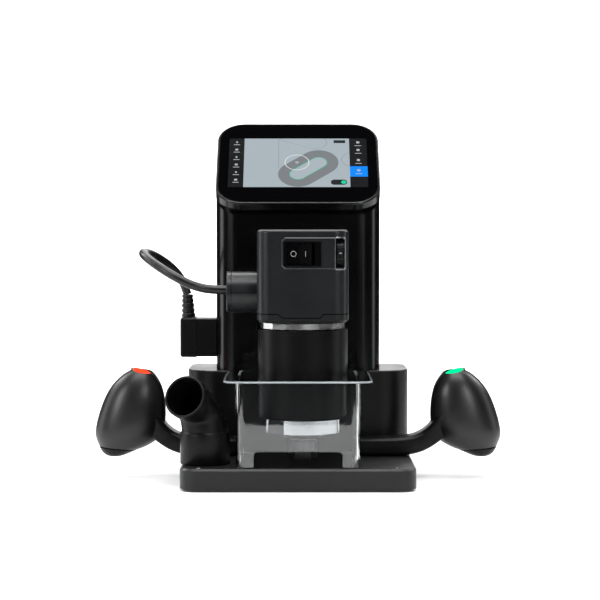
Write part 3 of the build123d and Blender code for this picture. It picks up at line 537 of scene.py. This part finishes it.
def grip_rings(low, high, count):
    """Rings of a grip: ellipses whose middle, width and depth are B-splines of the list above."""
    table = bspline([(z, x, half) for z, x, half in GRIP_RINGS], 240)
    table = table[(table[:, 0] >= low) & (table[:, 0] <= high)]
    pick = np.linspace(0, len(table) - 1, count)
    index = np.arange(len(table))
    z, x, half = (np.interp(pick, index, table[:, i]) for i in range(3))
    half = np.maximum(half, 0.02)
    depth = GRIP_DEPTH * (half / 29.3) ** 0.72
    turn = turns(96)
    power = 2 / 2.15
    c, s = np.cos(turn), np.sin(turn)
    c, s = np.sign(c) * np.abs(c) ** power, np.sign(s) * np.abs(s) ** power
    rings = np.empty((count, len(turn), 3))
    rings[..., 0] = x[:, None] + half[:, None] * c
    rings[..., 1] = GRIP_Y + depth[:, None] * s
    rings[..., 2] = z[:, None]
    return rings * MM


GRIP_SEAM = 24.6


def seam_tilt(rings):
    """Shears a grip's rings so that its seam climbs towards the outside, as the lower cap does."""
    rings = rings.copy()
    rings[..., 2] += 0.12 * (rings[..., 0] - 153 * MM) * np.clip((rings[..., 2] - 17.4 * MM) / (10 * MM), 0, 1) \
        * np.clip((60 * MM - rings[..., 2]) / (30 * MM), 0, 1)
    return rings


def make_grip(side):
    """One egg-shaped grip with its lower cap, a shadow joint between them and a well for the button."""
    sign = 1 if side == "right" else -1
    flip = np.array((sign, 1, 1))
    body = seam_tilt(grip_rings(GRIP_SEAM + 0.35, 93, 110))
    cap = seam_tilt(grip_rings(0, GRIP_SEAM - 0.15, 34))
    joint = seam_tilt(grip_rings(GRIP_SEAM - 2.0, GRIP_SEAM + 2.4, 12))
    centre = joint.mean(1, keepdims=True)
    joint = centre + (joint - centre) * 0.975
    inner, reach = body[..., 0].mean(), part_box("grip_right")[1].x
    narrower = (reach - inner) / (body[..., 0].max() - inner)
    for rings in (body, cap, joint):
        rings[..., 0] = inner + (rings[..., 0] - inner) * narrower
    shell = face_out(skin("grip_shell_" + side, body * flip))
    axis = BUTTON_AXIS * flip
    for r, deep in ((BUTTON_SEAT_R, 3.2 * MM), (BUTTON_WELL_R, 9.0 * MM)):
        start = BUTTON_AT * flip - axis * deep
        cut(shell, face_out(skin("well", lathe([(r, 0), (r, 20 * MM)], 64, start, axis))))
    sharpen(shell, 40)
    finish(shell, "frame", "soft_touch", ["grip_" + side])
    finish(face_out(skin("grip_cap_" + side, cap * flip)), "frame", "satin_abs")
    finish(face_out(skin("grip_joint_" + side, joint * flip)), "frame", "shadow_gap")


def make_arm(side):
    """One arm: a rounded bar along a B-spline that leaves the base level and sweeps up into the grip."""
    sign = 1 if side == "right" else -1
    path = bspline([(50.6, -3, 26.6), (72, -3, 26.6), (92, -3, 26.9), (104, -3, 29.6), (115, -3, 36.5),
                    (124, -3, 46), (131, -3, 54)], 90)
    t = np.linspace(0, 1, 90)
    half_z = 7.8 + 5.0 * np.clip((t - 0.62) / 0.38, 0, 1) ** 2
    half_y = np.interp(t, (0, 0.42, 0.6, 1), (14.8, 14.8, 14.0, 17.0))
    outline = rounded(1, 1, 0.42, 9)
    tangent = np.gradient(path, axis=0)
    tangent /= np.linalg.norm(tangent, axis=1)[:, None]
    up = np.cross(tangent, (0, -1, 0))
    up *= np.sign(up[:, 2:])
    rings = path[:, None] + outline[None, :, :1] * half_y[:, None, None] * np.array((0, 1, 0)) \
        + outline[None, :, 1:] * half_z[:, None, None] * up[:, None]
    piece = face_out(skin("arm_swept_" + side, rings * MM * np.array((sign, 1, 1))))
    sharpen(piece, 50)
    finish(piece, "frame", "satin_abs", ["handle_arm_" + side])


def make_spout():
    """Dust spout: each line of the wall is a cubic Hermite curve from the upright collar to the tilted mouth.

    P(u, t) = h0 P0(u) + h1 T0 + h2 P1(u) + h3 T1, inside and out, closed over a rounded lip.
    """
    collar = np.array((-76.5, -61.0, 45.5)) * MM
    turn = turns(96)[:, None]
    flat = np.cos(turn) * ACROSS + np.sin(turn) * np.array((0, 1, 0))
    e1 = ACROSS - MOUTH_AXIS * (ACROSS @ MOUTH_AXIS)
    e1 /= np.linalg.norm(e1)
    tilted = np.cos(turn) * e1 + np.sin(turn) * np.cross(MOUTH_AXIS, e1)

    def wall(low_r, mouth_r, back):
        t = np.linspace(0, 1, 60)[:, None, None]
        h0, h1 = 2 * t ** 3 - 3 * t ** 2 + 1, t ** 3 - 2 * t ** 2 + t
        h2, h3 = -2 * t ** 3 + 3 * t ** 2, t ** 3 - t ** 2
        start, end = collar + flat * low_r, MOUTH - MOUTH_AXIS * back + tilted * mouth_r
        return h0 * start + h1 * UP * 38 * MM + h2 * end + h3 * MOUTH_AXIS * 34 * MM

    outer = wall(19.4 * MM, 17.6 * MM, 7 * MM)
    inner = wall(16.2 * MM, 15.6 * MM, 7 * MM)[::-1]
    foot_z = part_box("dust_port")[0].z
    foot = [collar * (1, 1, 0) + flat * r * MM + UP * z for r, z in (
        (20.1, foot_z + 0.05 * MM), (20.6, foot_z + 0.6 * MM), (20.6, 44.0 * MM), (20.4, 45.0 * MM),
        (19.6, 45.5 * MM))]
    lip = [MOUTH + MOUTH_AXIS * h * MM + tilted * r * MM for r, h in (
        (17.6, -0.9), (17.45, -0.3), (17.0, 0.0), (16.3, 0.0), (15.8, -0.3), (15.6, -0.9))]
    deep = [collar * (1, 1, 0) + flat * 16.2 * MM + UP * 24 * MM]
    rings = np.concatenate([np.array(foot), outer, np.array(lip), inner, np.array(deep)])
    finish(face_out(skin("dust_spout", rings)), "frame", "satin_abs", ["dust_port"])


# ---- display

def on_face(u, v, lift):
    """A place on the display: u across and v up from the lit area's middle, lift above the glass."""
    drop = np.array(middle("display_panel"))
    drop = drop - FACE_OUT * ((drop - GLASS_TOP) @ FACE_OUT)
    return drop + ACROSS * u + FACE_UP * v + FACE_OUT * lift


LAYER = 0.022 * MM


def tile(x0, x1, y0, y1, layer, corner=0.0):
    """A rectangle of the lit area by its shares from the left and from the top."""
    half_x, half_y = (x1 - x0) * LIT_W / 2, (y1 - y0) * LIT_H / 2
    corner = max(min(corner, half_x, half_y) * 0.999, 0.01 * MM)
    outline = rounded(half_x, half_y, corner, 6 if corner > 0.02 * MM else 2)
    spot = on_face(((x0 + x1) / 2 - 0.5) * LIT_W, (0.5 - (y0 + y1) / 2) * LIT_H, layer * LAYER)
    return plate("tile", outline, (spot, ACROSS, FACE_UP), LAYER * 0.6)


def ribbon(outline, width, spot, layer):
    """A line of even width inside a closed outline on the display."""
    outward = outline - outline.mean(0)
    inner = outline - outward / np.linalg.norm(outward, axis=1)[:, None] * width
    return band(outline, inner, spot, layer)


def band(outer, inner, spot, layer):
    """Flat closed ring between two outlines of equal count, pressed against the lit area's edges."""
    rings = []
    for shape, lift in ((outer, 0), (outer, 1), (inner, 1), (inner, 0)):
        shape = shape + np.array(spot)
        shape = np.clip(shape, (-0.39 * LIT_W, -0.5 * LIT_H), (0.373 * LIT_W, 0.5 * LIT_H))
        rings.append(on_face(0, 0, (layer + 0.6 * lift) * LAYER) + shape[:, :1] * ACROSS + shape[:, 1:] * FACE_UP)
    return face_out(skin("band", rings, ends=False, smooth=False))


def stadium(r, length, tilt, count=48):
    """Outline of two half circles of radius r, their middles length apart, on a line tilted from level."""
    turn = np.linspace(-pi / 2, pi / 2, count)
    half = np.stack([length / 2 + r * np.cos(turn), r * np.sin(turn)], -1)
    shape = np.vstack([half, -half])
    c, s = cos(tilt), sin(tilt)
    return shape @ np.array(((c, s), (-s, c)))


def screen_piece(name, parts, colour, strength=1.0):
    """A lit area of the panel, seen through the cover glass, with the panel's faint pixel grain."""
    key = "lit " + colour
    FINISHES[key] = ("Lit panel " + colour, "#020202", 0.12, dict(
        grain=0.3, depth=0.0, mottle=0.02, Emission_Color=colour, Emission_Strength=strength))
    finish(merge(name, parts), "frame", key)


def make_screen():
    """The lit picture: two dark tool columns, a pale map with a slot being cut, its cursor and its controls."""
    left, right = 0.11, 0.873
    screen_piece("screen_columns", [tile(0, left, 0, 1, 0), tile(right, 1, 0, 1, 0)], "#1d1e20", 0.8)
    screen_piece("screen_map", [tile(left, right, 0, 1, 0)], "#b3bfc6", 0.9)
    screen_piece("screen_active_tile", [tile(right, 1, 0.58, 0.79, 1)], "#0a8cff", 1.0)
    slot_at = (0.0745 * LIT_W, -0.12 * LIT_H)
    reach, tilt = 24.4 * MM, radians(42)
    outer, inner = stadium(17.4 * MM, reach, tilt), stadium(7.6 * MM, reach, tilt)
    edge = stadium(7.0 * MM, reach, tilt)
    screen_piece("screen_cut_path", [band(outer, inner, slot_at, 1)], "#8c9195", 0.8)
    screen_piece("screen_cut_edge", [band(inner, edge, slot_at, 1)], "#2fc9a5", 0.9)
    ring = stadium(10.8 * MM, 0.01 * MM, 0)
    screen_piece("screen_cursor", [ribbon(ring, 0.55 * MM, (-0.9 * MM, 0.0), 2),
                                   ribbon(ring * 0.12, 0.4 * MM, (-0.9 * MM, 0.0), 2)], "#f4f6f7", 1.0)
    far = stadium(10 * MM, 26 * MM, radians(-24))
    lines = [ribbon(far, 0.35 * MM, (0.03 * LIT_W, 0.5 * LIT_H), 1),
             ribbon(stadium(10.5 * MM, 0.01 * MM, 0), 0.35 * MM, (0.40 * LIT_W, 0.06 * LIT_H), 1),
             tile(0.358, 0.3605, 0.0, 0.34, 1), tile(0.36, 0.3625, 0.34, 0.62, 1)]
    screen_piece("screen_outlines", lines, "#8b9398", 0.8)
    screen_piece("screen_controls", [tile(0.735, 0.85, 0.85, 0.955, 1, 3 * MM), tile(0.76, 0.845, 0.035, 0.095, 1)],
                 "#2c2f33", 0.8)
    screen_piece("screen_toggle", [tile(0.808, 0.845, 0.868, 0.937, 2, 3 * MM)], "#1fd8a0", 1.0)
    icons = []
    for k in range(6):
        y = 0.06 + k * 0.155
        wide = 0.006 + 0.005 * (k % 2)
        icons += [tile(0.055 - wide, 0.055 + wide, y, y + 0.035, 1, 0.5 * MM),
                  tile(0.033, 0.077, y + 0.064, y + 0.076, 1)]
    for y in (0.06, 0.22, 0.43, 0.64):
        icons += [tile(0.925, 0.948, y, y + 0.042, 2, 0.8 * MM), tile(0.913, 0.96, y + 0.085, y + 0.096, 2)]
    screen_piece("screen_icons", icons, "#c4c9cd", 0.85)


def make_shield_lip():
    """Polished edge of the shield's flange: a fine bead painted pale as a highlight."""
    low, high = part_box("clear_shield")
    outline = rounded((high.x - low.x) / 2 - 0.75 * MM, 40 * MM, 11.3 * MM, 14)
    outline = outline[outline[:, 1] <= 0]
    plan = np.vstack([[(-outline[:, 0].max(), 60 * MM)], outline, [(outline[:, 0].max(), 60 * MM)]])
    x, y = resample(plan, lambda along: np.linspace(0, along[-1], 160)).T
    path = np.stack([x, y + low.y + 40.75 * MM, np.full(160, high.z - 0.9 * MM)], -1)
    piece = face_out(skin("shield_lip", tube(path, 0.85 * MM, 14)))
    # the bead's pale colour is a painted highlight
    finish(piece, "shield", "polished_edge")


# ---- switches and the motor housing

FRONT = HEAD_LOW.y
HEAD_CORNER = 12 * MM


def strip(name, body, path, across, half, proud, key, closed=False):
    """A raised or dark line along a path: a flat band of that half width, standing proud of the surface below."""
    path, across = np.asarray(path, float), np.asarray(across, float)
    step = np.gradient(path, axis=0) if not closed else np.roll(path, -1, 0) - np.roll(path, 1, 0)
    step /= np.linalg.norm(step, axis=1)[:, None]
    out = across / np.linalg.norm(across, axis=-1)[:, None]
    side = np.cross(step, out)
    side /= np.linalg.norm(side, axis=1)[:, None]
    rings = np.stack([path - side * half - out * 0.3 * MM, path - side * half + out * proud,
                      path + side * half + out * proud, path + side * half - out * 0.3 * MM], 1)
    piece = face_out(skin(name, rings, ends=not closed, smooth=False))
    return finish(piece, body, key)


def make_seam():
    """Joint of the motor housing's lower cover: level all round, with a step down in the middle of the front."""
    outline = rounded((HEAD_HIGH.x - HEAD_LOW.x) / 2, (HEAD_HIGH.y - HEAD_LOW.y) / 2, HEAD_CORNER, 12)
    outline = np.vstack([outline, outline[:1]])
    plan = resample(outline, lambda along: np.linspace(0, along[-1], 400, endpoint=False))
    ahead = np.roll(plan, -1, 0) - np.roll(plan, 1, 0)
    out = np.stack([ahead[:, 1], -ahead[:, 0], np.zeros(len(plan))], -1)
    x = plan[:, 0] + SPINDLE.x
    y = plan[:, 1] + (HEAD_LOW.y + HEAD_HIGH.y) / 2
    dip = np.clip((x + 16.6 * MM) / (4.3 * MM), 0, 1) * np.clip((20.6 * MM - x) / (2.4 * MM), 0, 1)
    z = (142.5 - 3.2 * dip * (y < FRONT + 1 * MM)) * MM
    strip("housing_seam", "carriage", np.stack([x, y, z], -1), out, 0.36 * MM, 0.04 * MM,
          "shadow_gap", closed=True)


def front_depth(x):
    """How far the housing's front lies behind its flat at x: R - sqrt(R^2 - (x - x0)^2) in the corner."""
    into = np.clip(x - (HEAD_HIGH.x - HEAD_CORNER), 0, HEAD_CORNER * 0.999)
    return HEAD_CORNER - np.sqrt(HEAD_CORNER ** 2 - into ** 2)


def raised_frame(name, x0, x1, z0, z1, clip, levels, key):
    """Closed rim with clipped corners on the housing's front; levels are (inset, height) pairs in mm."""
    corners = np.array([(x0 + clip, z0), (x1 - clip, z0), (x1, z0 + clip), (x1, z1 - clip), (x1 - clip, z1),
                        (x0 + clip, z1), (x0, z1 - clip), (x0, z0 + clip), (x0 + clip, z0)])
    plan = resample(corners, lambda along: np.union1d(along[:-1], np.linspace(0, along[-1], 160, endpoint=False)))
    middle_x, middle_z = (x0 + x1) / 2, (z0 + z1) / 2
    half = np.array((x1 - x0, z1 - z0)) / 2
    rings = []
    for inset, height in levels:
        shape = (plan - (middle_x, middle_z)) * (1 - inset * MM / half) + (middle_x, middle_z)
        y = FRONT + front_depth(shape[:, 0]) - height * MM
        rings.append(np.stack([shape[:, 0], y, shape[:, 1]], -1))
    finish(sharpen(face_out(skin(name, rings, ends=False)), 25), "carriage", key)


def make_switch_trim():
    """Raised frame with clipped corners round the power switch and the dial, and the rim of the dial's window."""
    low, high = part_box("switch_frame")
    dial_low, dial_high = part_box("speed_dial")
    # the switch surround's paler colour is a painted highlight
    raised_frame("switch_surround", low.x - 1.9 * MM, HEAD_HIGH.x - 1.2 * MM, low.z - 2.4 * MM, high.z + 3.4 * MM,
                 2.6 * MM, ((-0.6, -0.3), (0, 0.05), (0.5, 0.55), (0.8, 0.55), (1.0, -0.3)), "painted_highlight_abs")
    raised_frame("dial_rim", dial_low.x - 1.9 * MM, dial_high.x + 1.9 * MM, dial_low.z - 1.9 * MM,
                 dial_high.z + 1.9 * MM, 1.2 * MM, ((0, -0.3), (0, 0.2), (0.3, 0.3), (0.7, 0.3), (0.8, -0.3)),
                 "milled")


def make_marks():
    """O and I on the rocker's two faces, and the mark on the dial's edge."""
    mid_x, z = middle("switch_frame").x - 1.25 * MM, middle("power_rocker").z
    ends = np.array(((mid_x - 11.1 * MM, FRONT + 1.69 * MM, z), (mid_x - 1.0 * MM, FRONT + 1.81 * MM, z),
                     (mid_x + 8.75 * MM, FRONT - 0.75 * MM, z)))
    turn = turns(48)
    for name, a, b in (("mark_o", ends[0], ends[1]), ("mark_i", ends[1], ends[2])):
        across = (b - a) / np.linalg.norm(b - a)
        out = np.cross(across, UP)
        spot = (a + b) / 2
        if name == "mark_o":
            circle = np.cos(turn)[:, None] * across + np.sin(turn)[:, None] * UP
            rings = [spot + r * MM * circle + out * h * MM
                     for r, h in ((2.35, -0.1), (2.35, 0.04), (1.95, 0.04), (1.95, -0.1))]
            piece = face_out(skin(name, rings, ends=False, smooth=False))
        else:
            place = (spot - out * 0.1 * MM, across, UP)
            piece = face_out(plate(name, rounded(0.2 * MM, 2.2 * MM, 0.1 * MM, 3), place, 0.14 * MM))
        finish(piece, "rocker", "white_print")
    dial = middle("speed_dial")
    dial_low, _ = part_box("speed_dial")
    place = ((dial.x, dial_low.y + 0.15 * MM, dial.z + 0.2 * MM), ACROSS, UP)
    piece = face_out(plate("dial_mark", rounded(1.1 * MM, 0.4 * MM, 0.1 * MM, 3), place, 0.2 * MM))
    finish(piece, "dial", "white_print")


def make_ring(facets):
    """Polished ring below the motor housing: r(a) = R cos(pi/n) / cos(a mod (2 pi/n) - pi/n), with bevelled rims."""
    low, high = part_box("upper_ring")
    radius = (high.x - low.x) / 2
    sector = 2 * pi / facets
    turn = turns(facets * 8)
    share = cos(sector / 2) / np.cos(np.mod(turn, sector) - sector / 2)
    flat = np.stack([np.cos(turn), np.sin(turn), np.zeros(len(turn))], -1)
    centre = np.array((SPINDLE.x, SPINDLE.y, 0))
    rings = [centre + flat * (share * radius - inset)[:, None] + UP * z for inset, z in (
        (1.0 * MM, low.z), (0.0, low.z + 1.0 * MM), (0.0, high.z - 1.0 * MM), (1.0 * MM, high.z))]
    rings += [centre + flat * (radius - 6 * MM) + UP * z for z in (high.z, low.z)]
    piece = sharpen(face_out(skin("upper_ring_faceted", rings, ends=False)), 4)
    finish(piece, "carriage", "bright_ring", ["upper_ring"])


# ---- rear

def make_rear():
    """Rear cover's joint, vent slots, screws and the camera's rim."""
    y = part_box("tower_shell")[1].y
    outline = rounded(57 * MM, 62 * MM, 8 * MM, 8)
    loop = np.stack([outline[:, 0], np.full(len(outline), y), outline[:, 1] + 168 * MM], -1)
    out = np.tile((0.0, 1.0, 0.0), (len(loop), 1))
    strip("rear_cover_joint", "frame", loop, out, 0.3 * MM, 0.03 * MM, "shadow_gap", closed=True)
    slots = []
    for k in range(9):
        place = (np.array((0, y - 0.1 * MM, (128 + 6 * k) * MM)), -ACROSS, UP)
        slots.append(plate("vent", rounded(34 * MM, 1.3 * MM, 1.28 * MM, 8), place, 0.13 * MM))
    finish(face_out(merge("rear_vents", slots)), "frame", "shadow_gap")
    heads, drives = [], []
    for x in (-51, 51):
        for z in (112, 224):
            at = (x * MM, y - 0.2 * MM, z * MM)
            heads.append(skin("head", lathe([(2.9 * MM, 0), (2.9 * MM, 1.2 * MM), (2.5 * MM, 1.7 * MM),
                                             (1.3 * MM, 1.8 * MM)], 40, at, z_dir=(0, 1, 0))))
            drives.append(skin("drive", lathe([(1.35 * MM, 1.6 * MM), (1.35 * MM, 1.84 * MM)], 6, at,
                                              z_dir=(0, 1, 0)), smooth=False))
    finish(sharpen(face_out(merge("rear_screws", heads)), 35), "frame", "ground_steel")
    finish(face_out(merge("rear_screw_drives", drives)), "frame", "shadow_gap")
    lens = middle("camera_lens")
    rim = skin("camera_rim", lathe([(7.7 * MM, -0.4 * MM), (7.7 * MM, 0.9 * MM), (8.1 * MM, 1.2 * MM),
                                    (9.6 * MM, 1.0 * MM), (10.2 * MM, 0.2 * MM), (10.2 * MM, -0.4 * MM)], 64,
                                   (lens.x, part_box("camera_housing")[1].y, lens.z), z_dir=(0, 1, 0)), ends=False)
    finish(sharpen(face_out(rim), 40), "frame", "milled")


# ---------------------------------------------------------------- stage

def light(name, place, aim, size, power):
    """A rectangular lamp at a place in metres, turned to its aim, with its size and its power in watts."""
    data = bpy.data.lights.new(name, "AREA")
    data.shape, data.size, data.size_y, data.energy = "RECTANGLE", size[0], size[1], power
    lamp = bpy.data.objects.new(name, data)
    bpy.context.scene.collection.objects.link(lamp)
    lamp.location = place
    way = Vector(aim) - Vector(place)
    lamp.rotation_mode = "QUATERNION"
    lamp.rotation_quaternion = way.to_track_quat("-Z", "Y")
    return lamp


def make_stage(studio):
    """White sweep with black felt before it, lights at the sides, above, before and behind, and the camera.

    No lamp stands over y = 0.25 to 0.38 m, because the display would mirror it.
    """
    t = np.linspace(0, 1, 40)
    bend = 0.9
    arc = np.stack([1.3 + bend * np.sin(t * pi / 2), bend * (1 - np.cos(t * pi / 2))], -1)
    edge = -0.58
    profile = np.vstack([[(edge, 0.0)], arc, [(1.3 + bend, 3.4)]])
    front = np.array([(-3.4, -0.002), (edge, -0.002)])
    for name, profile, half, key in (("studio_sweep", profile, 0.66, "seamless_paper"),
                                      ("studio_floor", front, 3.0, "black_felt")):
        x = np.array((-half, half))
        grid = np.stack(np.broadcast_arrays(x[None, :], profile[:, :1], profile[:, 1:]), -1)
        ground = put(name, grid, grid_faces(len(profile), 2, False))
        ground.data.materials.append(material(key))
    world = bpy.data.worlds.new("studio")
    world.use_nodes = True
    background = world.node_tree.nodes["Background"]
    background.inputs[0].default_value = linear("#ffffff")
    background.inputs[1].default_value = studio.ambient
    bpy.context.scene.world = world
    light("strip_left", (-1.25, 0.2, 0.5), (0, 0, 0.15), (0.5, 1.5), studio.strip_power)
    light("strip_right", (1.25, 0.1, 0.5), (0, 0, 0.15), (0.3, 1.5), studio.strip_power * 0.5)
    light("key_left", (-1.15, -0.95, 0.62), (-0.14, 0, 0.06), (0.30, 0.55), studio.key_power)
    light("key_right", (0.65, -1.35, 0.68), (0.14, 0, 0.06), (0.22, 0.55), studio.key_power * 0.8)
    light("top_strip", (0, -0.12, 1.55), (0, -0.1, 0), (1.3, 0.12), studio.edge_power)
    for k, x in enumerate((-0.85, 0.8)):
        y = -sqrt(1.35 ** 2 - x ** 2)
        light(f"fill_{k}", (x, y, 0.16), (0, 0, 0.13), (0.10, 0.35), studio.fill_power)
    light("top_rear", (0, 1.0, 1.6), (0, 0.7, 0), (1.6, 0.9), studio.top_power)
    light("top_front", (0, -0.75, 1.7), (0, -0.1, 0), (1.4, 0.5), studio.top_power * 0.75)
    light("back_left", (-1.4, 1.0, 1.3), (0, 2.2, 0.6), (0.8, 0.8), studio.back_power)
    light("back_right", (1.4, 1.0, 1.3), (0, 2.2, 0.6), (0.8, 0.8), studio.back_power)
    data = bpy.data.cameras.new("camera")
    data.lens, data.sensor_width, data.clip_end = studio.lens, 36.0, 30.0
    camera = bpy.data.objects.new("camera", data)
    bpy.context.scene.collection.objects.link(camera)
    camera.location = (0, -1.599, 0.220)
    camera.rotation_mode = "XYZ"
    camera.rotation_euler = (pi / 2 - studio.pitch, 0, -studio.yaw)
    bpy.context.scene.camera = camera
    bpy.context.scene.view_settings.view_transform = "Standard"


# ---------------------------------------------------------------- add-on

class RouterSizes(bpy.types.PropertyGroup):
    """Sizes of the router's visible pieces."""
    lead_diameter: bpy.props.FloatProperty(
        name="Lead diameter", description="Outside of the spindle lead's jacket", default=LEAD_D, min=0.004,
        max=0.012, unit="LENGTH", subtype="DISTANCE")
    ring_facets: bpy.props.IntProperty(
        name="Ring facets", description="Flats round the polished ring below the motor housing", default=16, min=6,
        max=48)


class RouterColours(bpy.types.PropertyGroup):
    """Colours of the router's main pieces."""
    housing: bpy.props.FloatVectorProperty(
        name="Motor housing", description="Textured ABS of the motor housing and the lead's outlet",
        default=linear("#131416"), size=4, min=0, max=1, subtype="COLOR")
    body: bpy.props.FloatVectorProperty(
        name="Body", description="Satin ABS of the rear housing, the arms and the dust spout",
        default=linear("#070708"), size=4, min=0, max=1, subtype="COLOR")
    grips: bpy.props.FloatVectorProperty(
        name="Grips", description="Soft-touch rubber of both grips", default=linear("#040405"),
        size=4, min=0, max=1, subtype="COLOR")
    base: bpy.props.FloatVectorProperty(
        name="Base", description="Powder coat of the base plate", default=linear("#141415"),
        size=4, min=0, max=1, subtype="COLOR")
    start_button: bpy.props.FloatVectorProperty(
        name="Start button", description="Cap of the button on the right grip", default=linear("#00a058"),
        size=4, min=0, max=1, subtype="COLOR")
    # painted glow on the start button's cap
    start_glow: bpy.props.FloatVectorProperty(
        name="Start painted glow", description="Painted glow of the start button's cap", default=linear("#00e296"),
        size=4, min=0, max=1, subtype="COLOR")
    stop_button: bpy.props.FloatVectorProperty(
        name="Stop button", description="Cap of the button on the left grip", default=linear("#d02a12"),
        size=4, min=0, max=1, subtype="COLOR")
    # painted glow on the stop button's cap
    stop_glow: bpy.props.FloatVectorProperty(
        name="Stop painted glow", description="Painted glow of the stop button's cap", default=linear("#f45030"),
        size=4, min=0, max=1, subtype="COLOR")


class RouterStudio(bpy.types.PropertyGroup):
    """Camera and light of the product view."""
    lens: bpy.props.FloatProperty(
        name="Focal length", description="Focal length of the camera on a 36 mm sensor", default=112.5, min=20,
        max=300, unit="CAMERA")
    pitch: bpy.props.FloatProperty(
        name="Pitch", description="How far the camera looks down", default=radians(2.475), unit="ROTATION",
        subtype="ANGLE")
    yaw: bpy.props.FloatProperty(
        name="Yaw", description="How far the camera looks to its right", default=radians(0.061), unit="ROTATION",
        subtype="ANGLE")
    ambient: bpy.props.FloatProperty(
        name="Ambient light", description="Brightness of the room round the set", default=0.012, min=0)
    strip_power: bpy.props.FloatProperty(
        name="Side light", description="Power of each tall strip at the sides", default=7.0, min=0, unit="POWER")
    key_power: bpy.props.FloatProperty(
        name="Key light", description="Power of the softboxes beside the camera", default=10.0, min=0, unit="POWER")
    edge_power: bpy.props.FloatProperty(
        name="Edge light", description="Power of the narrow strip overhead that draws the upper edges", default=10.0,
        min=0, unit="POWER")
    fill_power: bpy.props.FloatProperty(
        name="Fill light", description="Power of each low panel that the bright rings mirror", default=0.18, min=0,
        unit="POWER")
    top_power: bpy.props.FloatProperty(
        name="Top light", description="Power of the wide light overhead", default=31.0, min=0, unit="POWER")
    back_power: bpy.props.FloatProperty(
        name="Backdrop light", description="Power of each light on the backdrop", default=36.0, min=0, unit="POWER")


class ROUTER_OT_finishes(bpy.types.Operator):
    """Gives each CAD piece the finish of its real material"""
    bl_idname = "router.finishes"
    bl_label = "Finishes"

    def execute(self, context):
        dress_nodes()
        return {"FINISHED"}


class ROUTER_OT_lead(bpy.types.Operator):
    """Builds the spindle lead and its ribbed boot"""
    bl_idname = "router.lead"
    bl_label = "Spindle lead"

    def execute(self, context):
        make_boot()
        make_lead(context.scene.router_sizes.lead_diameter)
        return {"FINISHED"}


class ROUTER_OT_handles(bpy.types.Operator):
    """Builds both grips and their arms"""
    bl_idname = "router.handles"
    bl_label = "Handles"

    def execute(self, context):
        for side in ("right", "left"):
            make_grip(side)
            make_arm(side)
        return {"FINISHED"}


class ROUTER_OT_spout(bpy.types.Operator):
    """Builds the dust spout"""
    bl_idname = "router.spout"
    bl_label = "Dust spout"

    def execute(self, context):
        make_spout()
        return {"FINISHED"}


class ROUTER_OT_screen(bpy.types.Operator):
    """Builds the lit picture on the display"""
    bl_idname = "router.screen"
    bl_label = "Display picture"

    def execute(self, context):
        make_screen()
        return {"FINISHED"}


class ROUTER_OT_shield(bpy.types.Operator):
    """Builds the polished edge of the clear shield"""
    bl_idname = "router.shield"
    bl_label = "Shield edge"

    def execute(self, context):
        make_shield_lip()
        return {"FINISHED"}


class ROUTER_OT_head(bpy.types.Operator):
    """Builds the motor housing's joint, switch trim, marks and polished ring"""
    bl_idname = "router.head"
    bl_label = "Motor housing"

    def execute(self, context):
        make_seam()
        make_switch_trim()
        make_marks()
        make_ring(context.scene.router_sizes.ring_facets)
        return {"FINISHED"}


class ROUTER_OT_rear(bpy.types.Operator):
    """Builds the rear cover's joint, vents, screws and camera rim"""
    bl_idname = "router.rear"
    bl_label = "Rear cover"

    def execute(self, context):
        make_rear()
        return {"FINISHED"}


class ROUTER_OT_stage(bpy.types.Operator):
    """Builds the sweep, the lights and the camera"""
    bl_idname = "router.stage"
    bl_label = "Studio"

    def execute(self, context):
        make_stage(context.scene.router_studio)
        return {"FINISHED"}


OPERATORS = (ROUTER_OT_finishes, ROUTER_OT_lead, ROUTER_OT_handles, ROUTER_OT_spout, ROUTER_OT_screen,
             ROUTER_OT_shield, ROUTER_OT_head, ROUTER_OT_rear, ROUTER_OT_stage)


class ROUTER_PT_panel(bpy.types.Panel):
    """Lists the router's operators and values"""
    bl_label = "Hand-held CNC router"
    bl_idname = "ROUTER_PT_panel"
    bl_space_type = "VIEW_3D"
    bl_region_type = "UI"
    bl_category = "Router"

    def draw(self, context):
        scene = context.scene
        for group in (scene.router_sizes, scene.router_colours, scene.router_studio):
            box = self.layout.box()
            for key in group.bl_rna.properties.keys():
                if key not in ("rna_type", "name"):
                    box.prop(group, key)
        for operator in OPERATORS:
            self.layout.operator(operator.bl_idname)


CLASSES = (RouterSizes, RouterColours, RouterStudio, *OPERATORS, ROUTER_PT_panel)


def register():
    for cls in CLASSES:
        bpy.utils.register_class(cls)
    bpy.types.Scene.router_sizes = bpy.props.PointerProperty(type=RouterSizes)
    bpy.types.Scene.router_colours = bpy.props.PointerProperty(type=RouterColours)
    bpy.types.Scene.router_studio = bpy.props.PointerProperty(type=RouterStudio)


def unregister():
    del bpy.types.Scene.router_studio
    del bpy.types.Scene.router_colours
    del bpy.types.Scene.router_sizes
    for cls in reversed(CLASSES):
        bpy.utils.unregister_class(cls)


def main():
    register()
    for operator in OPERATORS:
        getattr(bpy.ops.router, operator.bl_idname.split(".")[1])()


if __name__ == "__main__":
    main()
